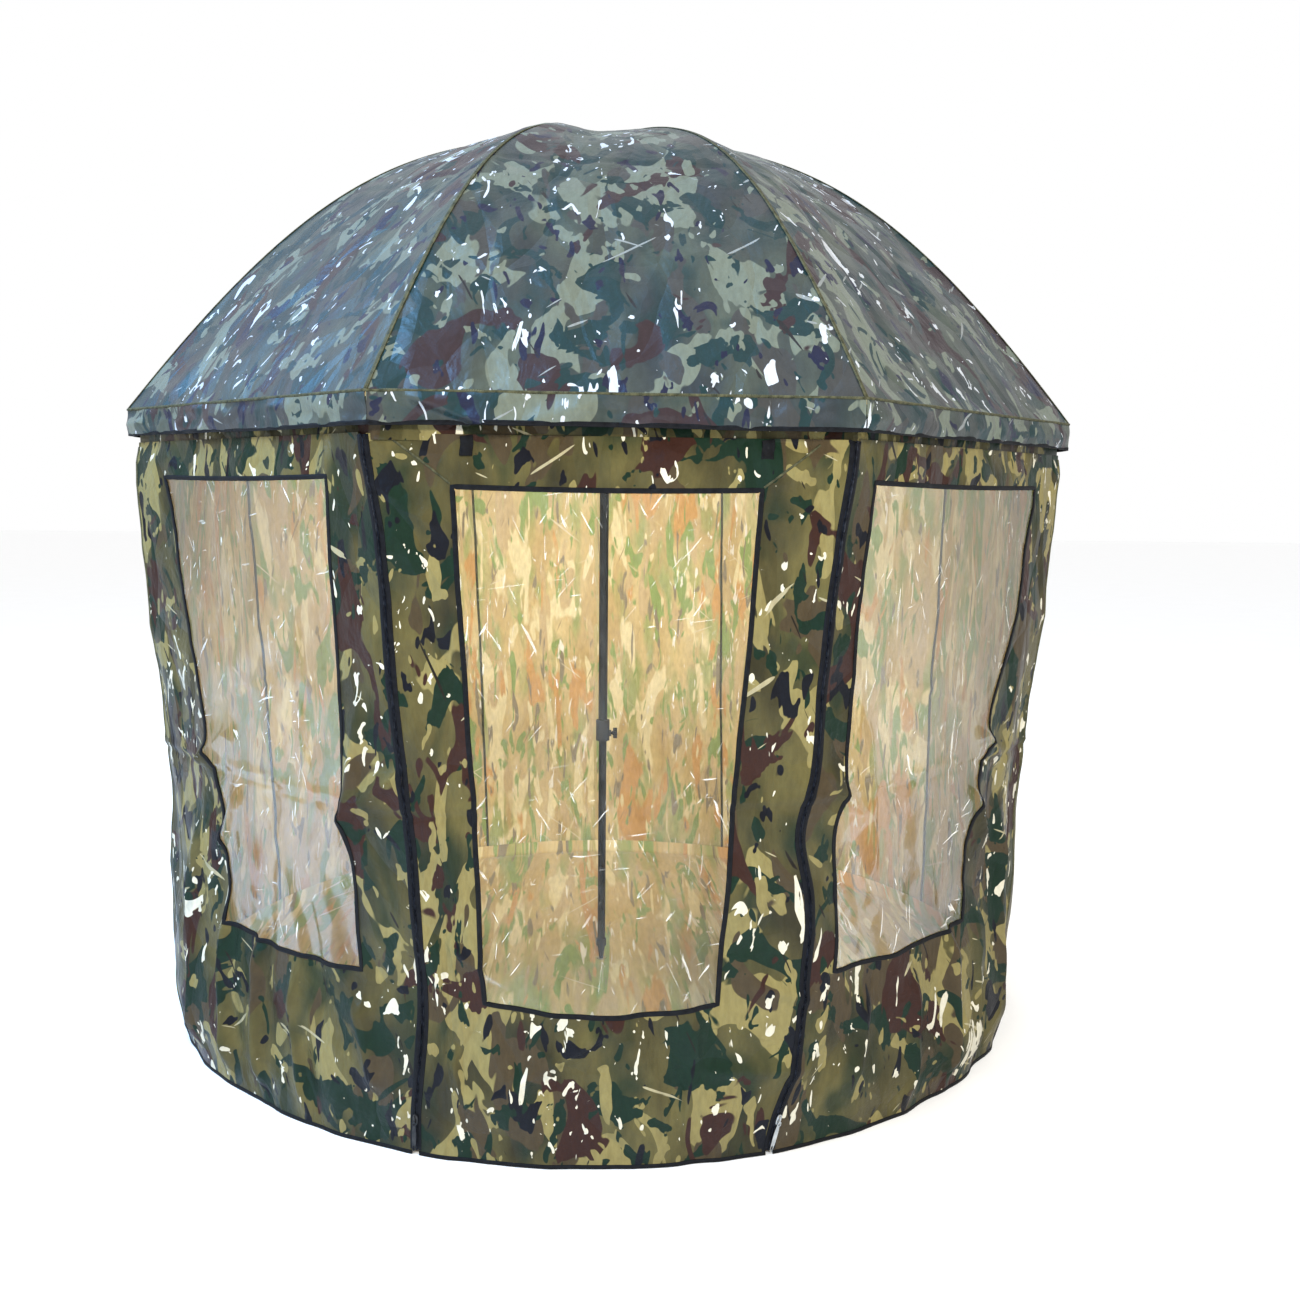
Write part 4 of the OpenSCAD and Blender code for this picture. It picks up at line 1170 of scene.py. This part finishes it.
TIE_Y = -WALL_R * math.cos(math.radians(HALF)) - 0.0035
for side, label in SIDES.items():
    drop = np.linspace(0, 1, 24)
    path = stack(0.28 * side + 0.001 * np.sin(5 * drop), TIE_Y - 0.0015 * np.sin(9 * drop),
                 ZIP_TOP - 0.037 * drop)
    strap = tape(f"tie_{label}", path, at(1, 0, 0.0), 0.024, 0.0022, webbing)
    on_wall(strap, "webbing", "front_door")
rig.replaces(bpy.data.objects["tie_left"], "door_ties")

# ---- CAD parts that stay
FINISHES = {
    "pole_tube": (hard("pole_paint", srgb(8, 9, 10), srgb(20, 21, 24), 0.34, 500, 0.2),
                  ["lower_pole", "upper_pole"]),
    "black_plastic": (hard("moulded_black", srgb(24, 24, 25), srgb(46, 46, 48), 0.42, 700),
                      ["pole_foot", "clamp_collar", "crown_hub", "crown_cap", "runner",
                       "clamp_screw"]),
    "bright_steel": (hard("bright_steel", srgb(168, 168, 166), srgb(205, 204, 200), 0.25, 500, 1.0),
                     ["hub_pins", "runner_catch"]),
    "frame_steel": (hard("frame_steel", srgb(58, 60, 62), srgb(104, 106, 108), 0.34, 500, 0.8),
                    [f"{part}_{k}" for part in ("rib", "stretcher") for k in range(1, RIBS + 1)]),
}
for finish, (look, nodes) in FINISHES.items():
    for node in nodes:
        part = frame["nodes"][node]
        part.data.materials.clear()
        part.data.materials.append(look)
        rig.slot(part, finish)

# ---- stage, lights and camera
g = Graph("floor")
tone = g.mix(g.noise(g.node("TexCoord").outputs["Object"], 3, 3), srgb(249, 249, 249),
             srgb(253, 253, 253))
FLOOR_R, FLOOR_Z = 40.0, -0.0005
mesh = bpy.data.meshes.new("floor")
mesh.from_pydata([(x * FLOOR_R, y * FLOOR_R, FLOOR_Z)
                  for x, y in ((-1, -1), (1, -1), (1, 1), (-1, 1))], [], [(0, 1, 2, 3)])
mesh.materials.append(g.surface(Base_Color=tone, Roughness=0.8))
floor = bpy.data.objects.new("floor", mesh)
bpy.context.scene.collection.objects.link(floor)
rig.stage(floor)

world = bpy.data.worlds.new("studio")
world.use_nodes = True
world.node_tree.nodes["Background"].inputs["Color"].default_value = (1, 1, 1, 1)
bpy.context.scene.world = world


def area_light(name, place, target, size, power, colour=(1, 1, 1), glossy=False):
    data = bpy.data.lights.new(name, "AREA")
    data.shape, data.size, data.size_y = "RECTANGLE", *size
    data.energy, data.color = power, colour
    lamp = bpy.data.objects.new(name, data)
    lamp.location = place
    lamp.rotation_euler = (Vector(target) - Vector(place)).to_track_quat("-Z", "Y").to_euler()
    lamp.visible_camera, lamp.visible_glossy = False, glossy
    bpy.context.scene.collection.objects.link(lamp)
    return lamp


area_light("sky", (-3.6, -1.5, 4.9), (-0.4, -0.2, 1.8), (3.0, 3.0), 430, (0.20, 0.52, 1.0), True)
area_light("key", (0.3, -5.3, 3.5), (0, 0, 0.7), (0.8, 0.8), 285, (1.0, 0.96, 0.88))
area_light("behind", (0.8, 5.2, 4.2), (0, 0, 1.2), (3.5, 3.5), 115)
inner = area_light("inside", (0, -0.60, 1.25), (0, 1.0, 1.00), (1.2, 0.6), 14, (1.0, 0.96, 0.90))
inner.data.spread = math.radians(105)      # the back panels glow, the side ones stay greyer

camera_data = bpy.data.cameras.new("camera")
camera_data.lens = 33.77
camera = bpy.data.objects.new("camera", camera_data)
heading, pitch, roll = -0.0616, 0.1229, -0.0118
turn = (Matrix.Rotation(heading, 4, "Z") @ Matrix.Rotation(-pitch, 4, "X")
        @ Matrix.Rotation(roll, 4, "Y") @ Matrix.Rotation(math.pi / 2, 4, "X"))
camera.matrix_world = Matrix.Translation((-0.078, -3.384, 1.315)) @ turn
bpy.context.scene.collection.objects.link(camera)
bpy.context.scene.camera = camera
bpy.context.scene.view_settings.view_transform = "Standard"

with open("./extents.json", "w") as out_file:
    boxes = {"cad": cad_box, "visual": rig.bounds()}
    json.dump({name: [list(corner) for corner in box] for name, box in boxes.items()}, out_file)
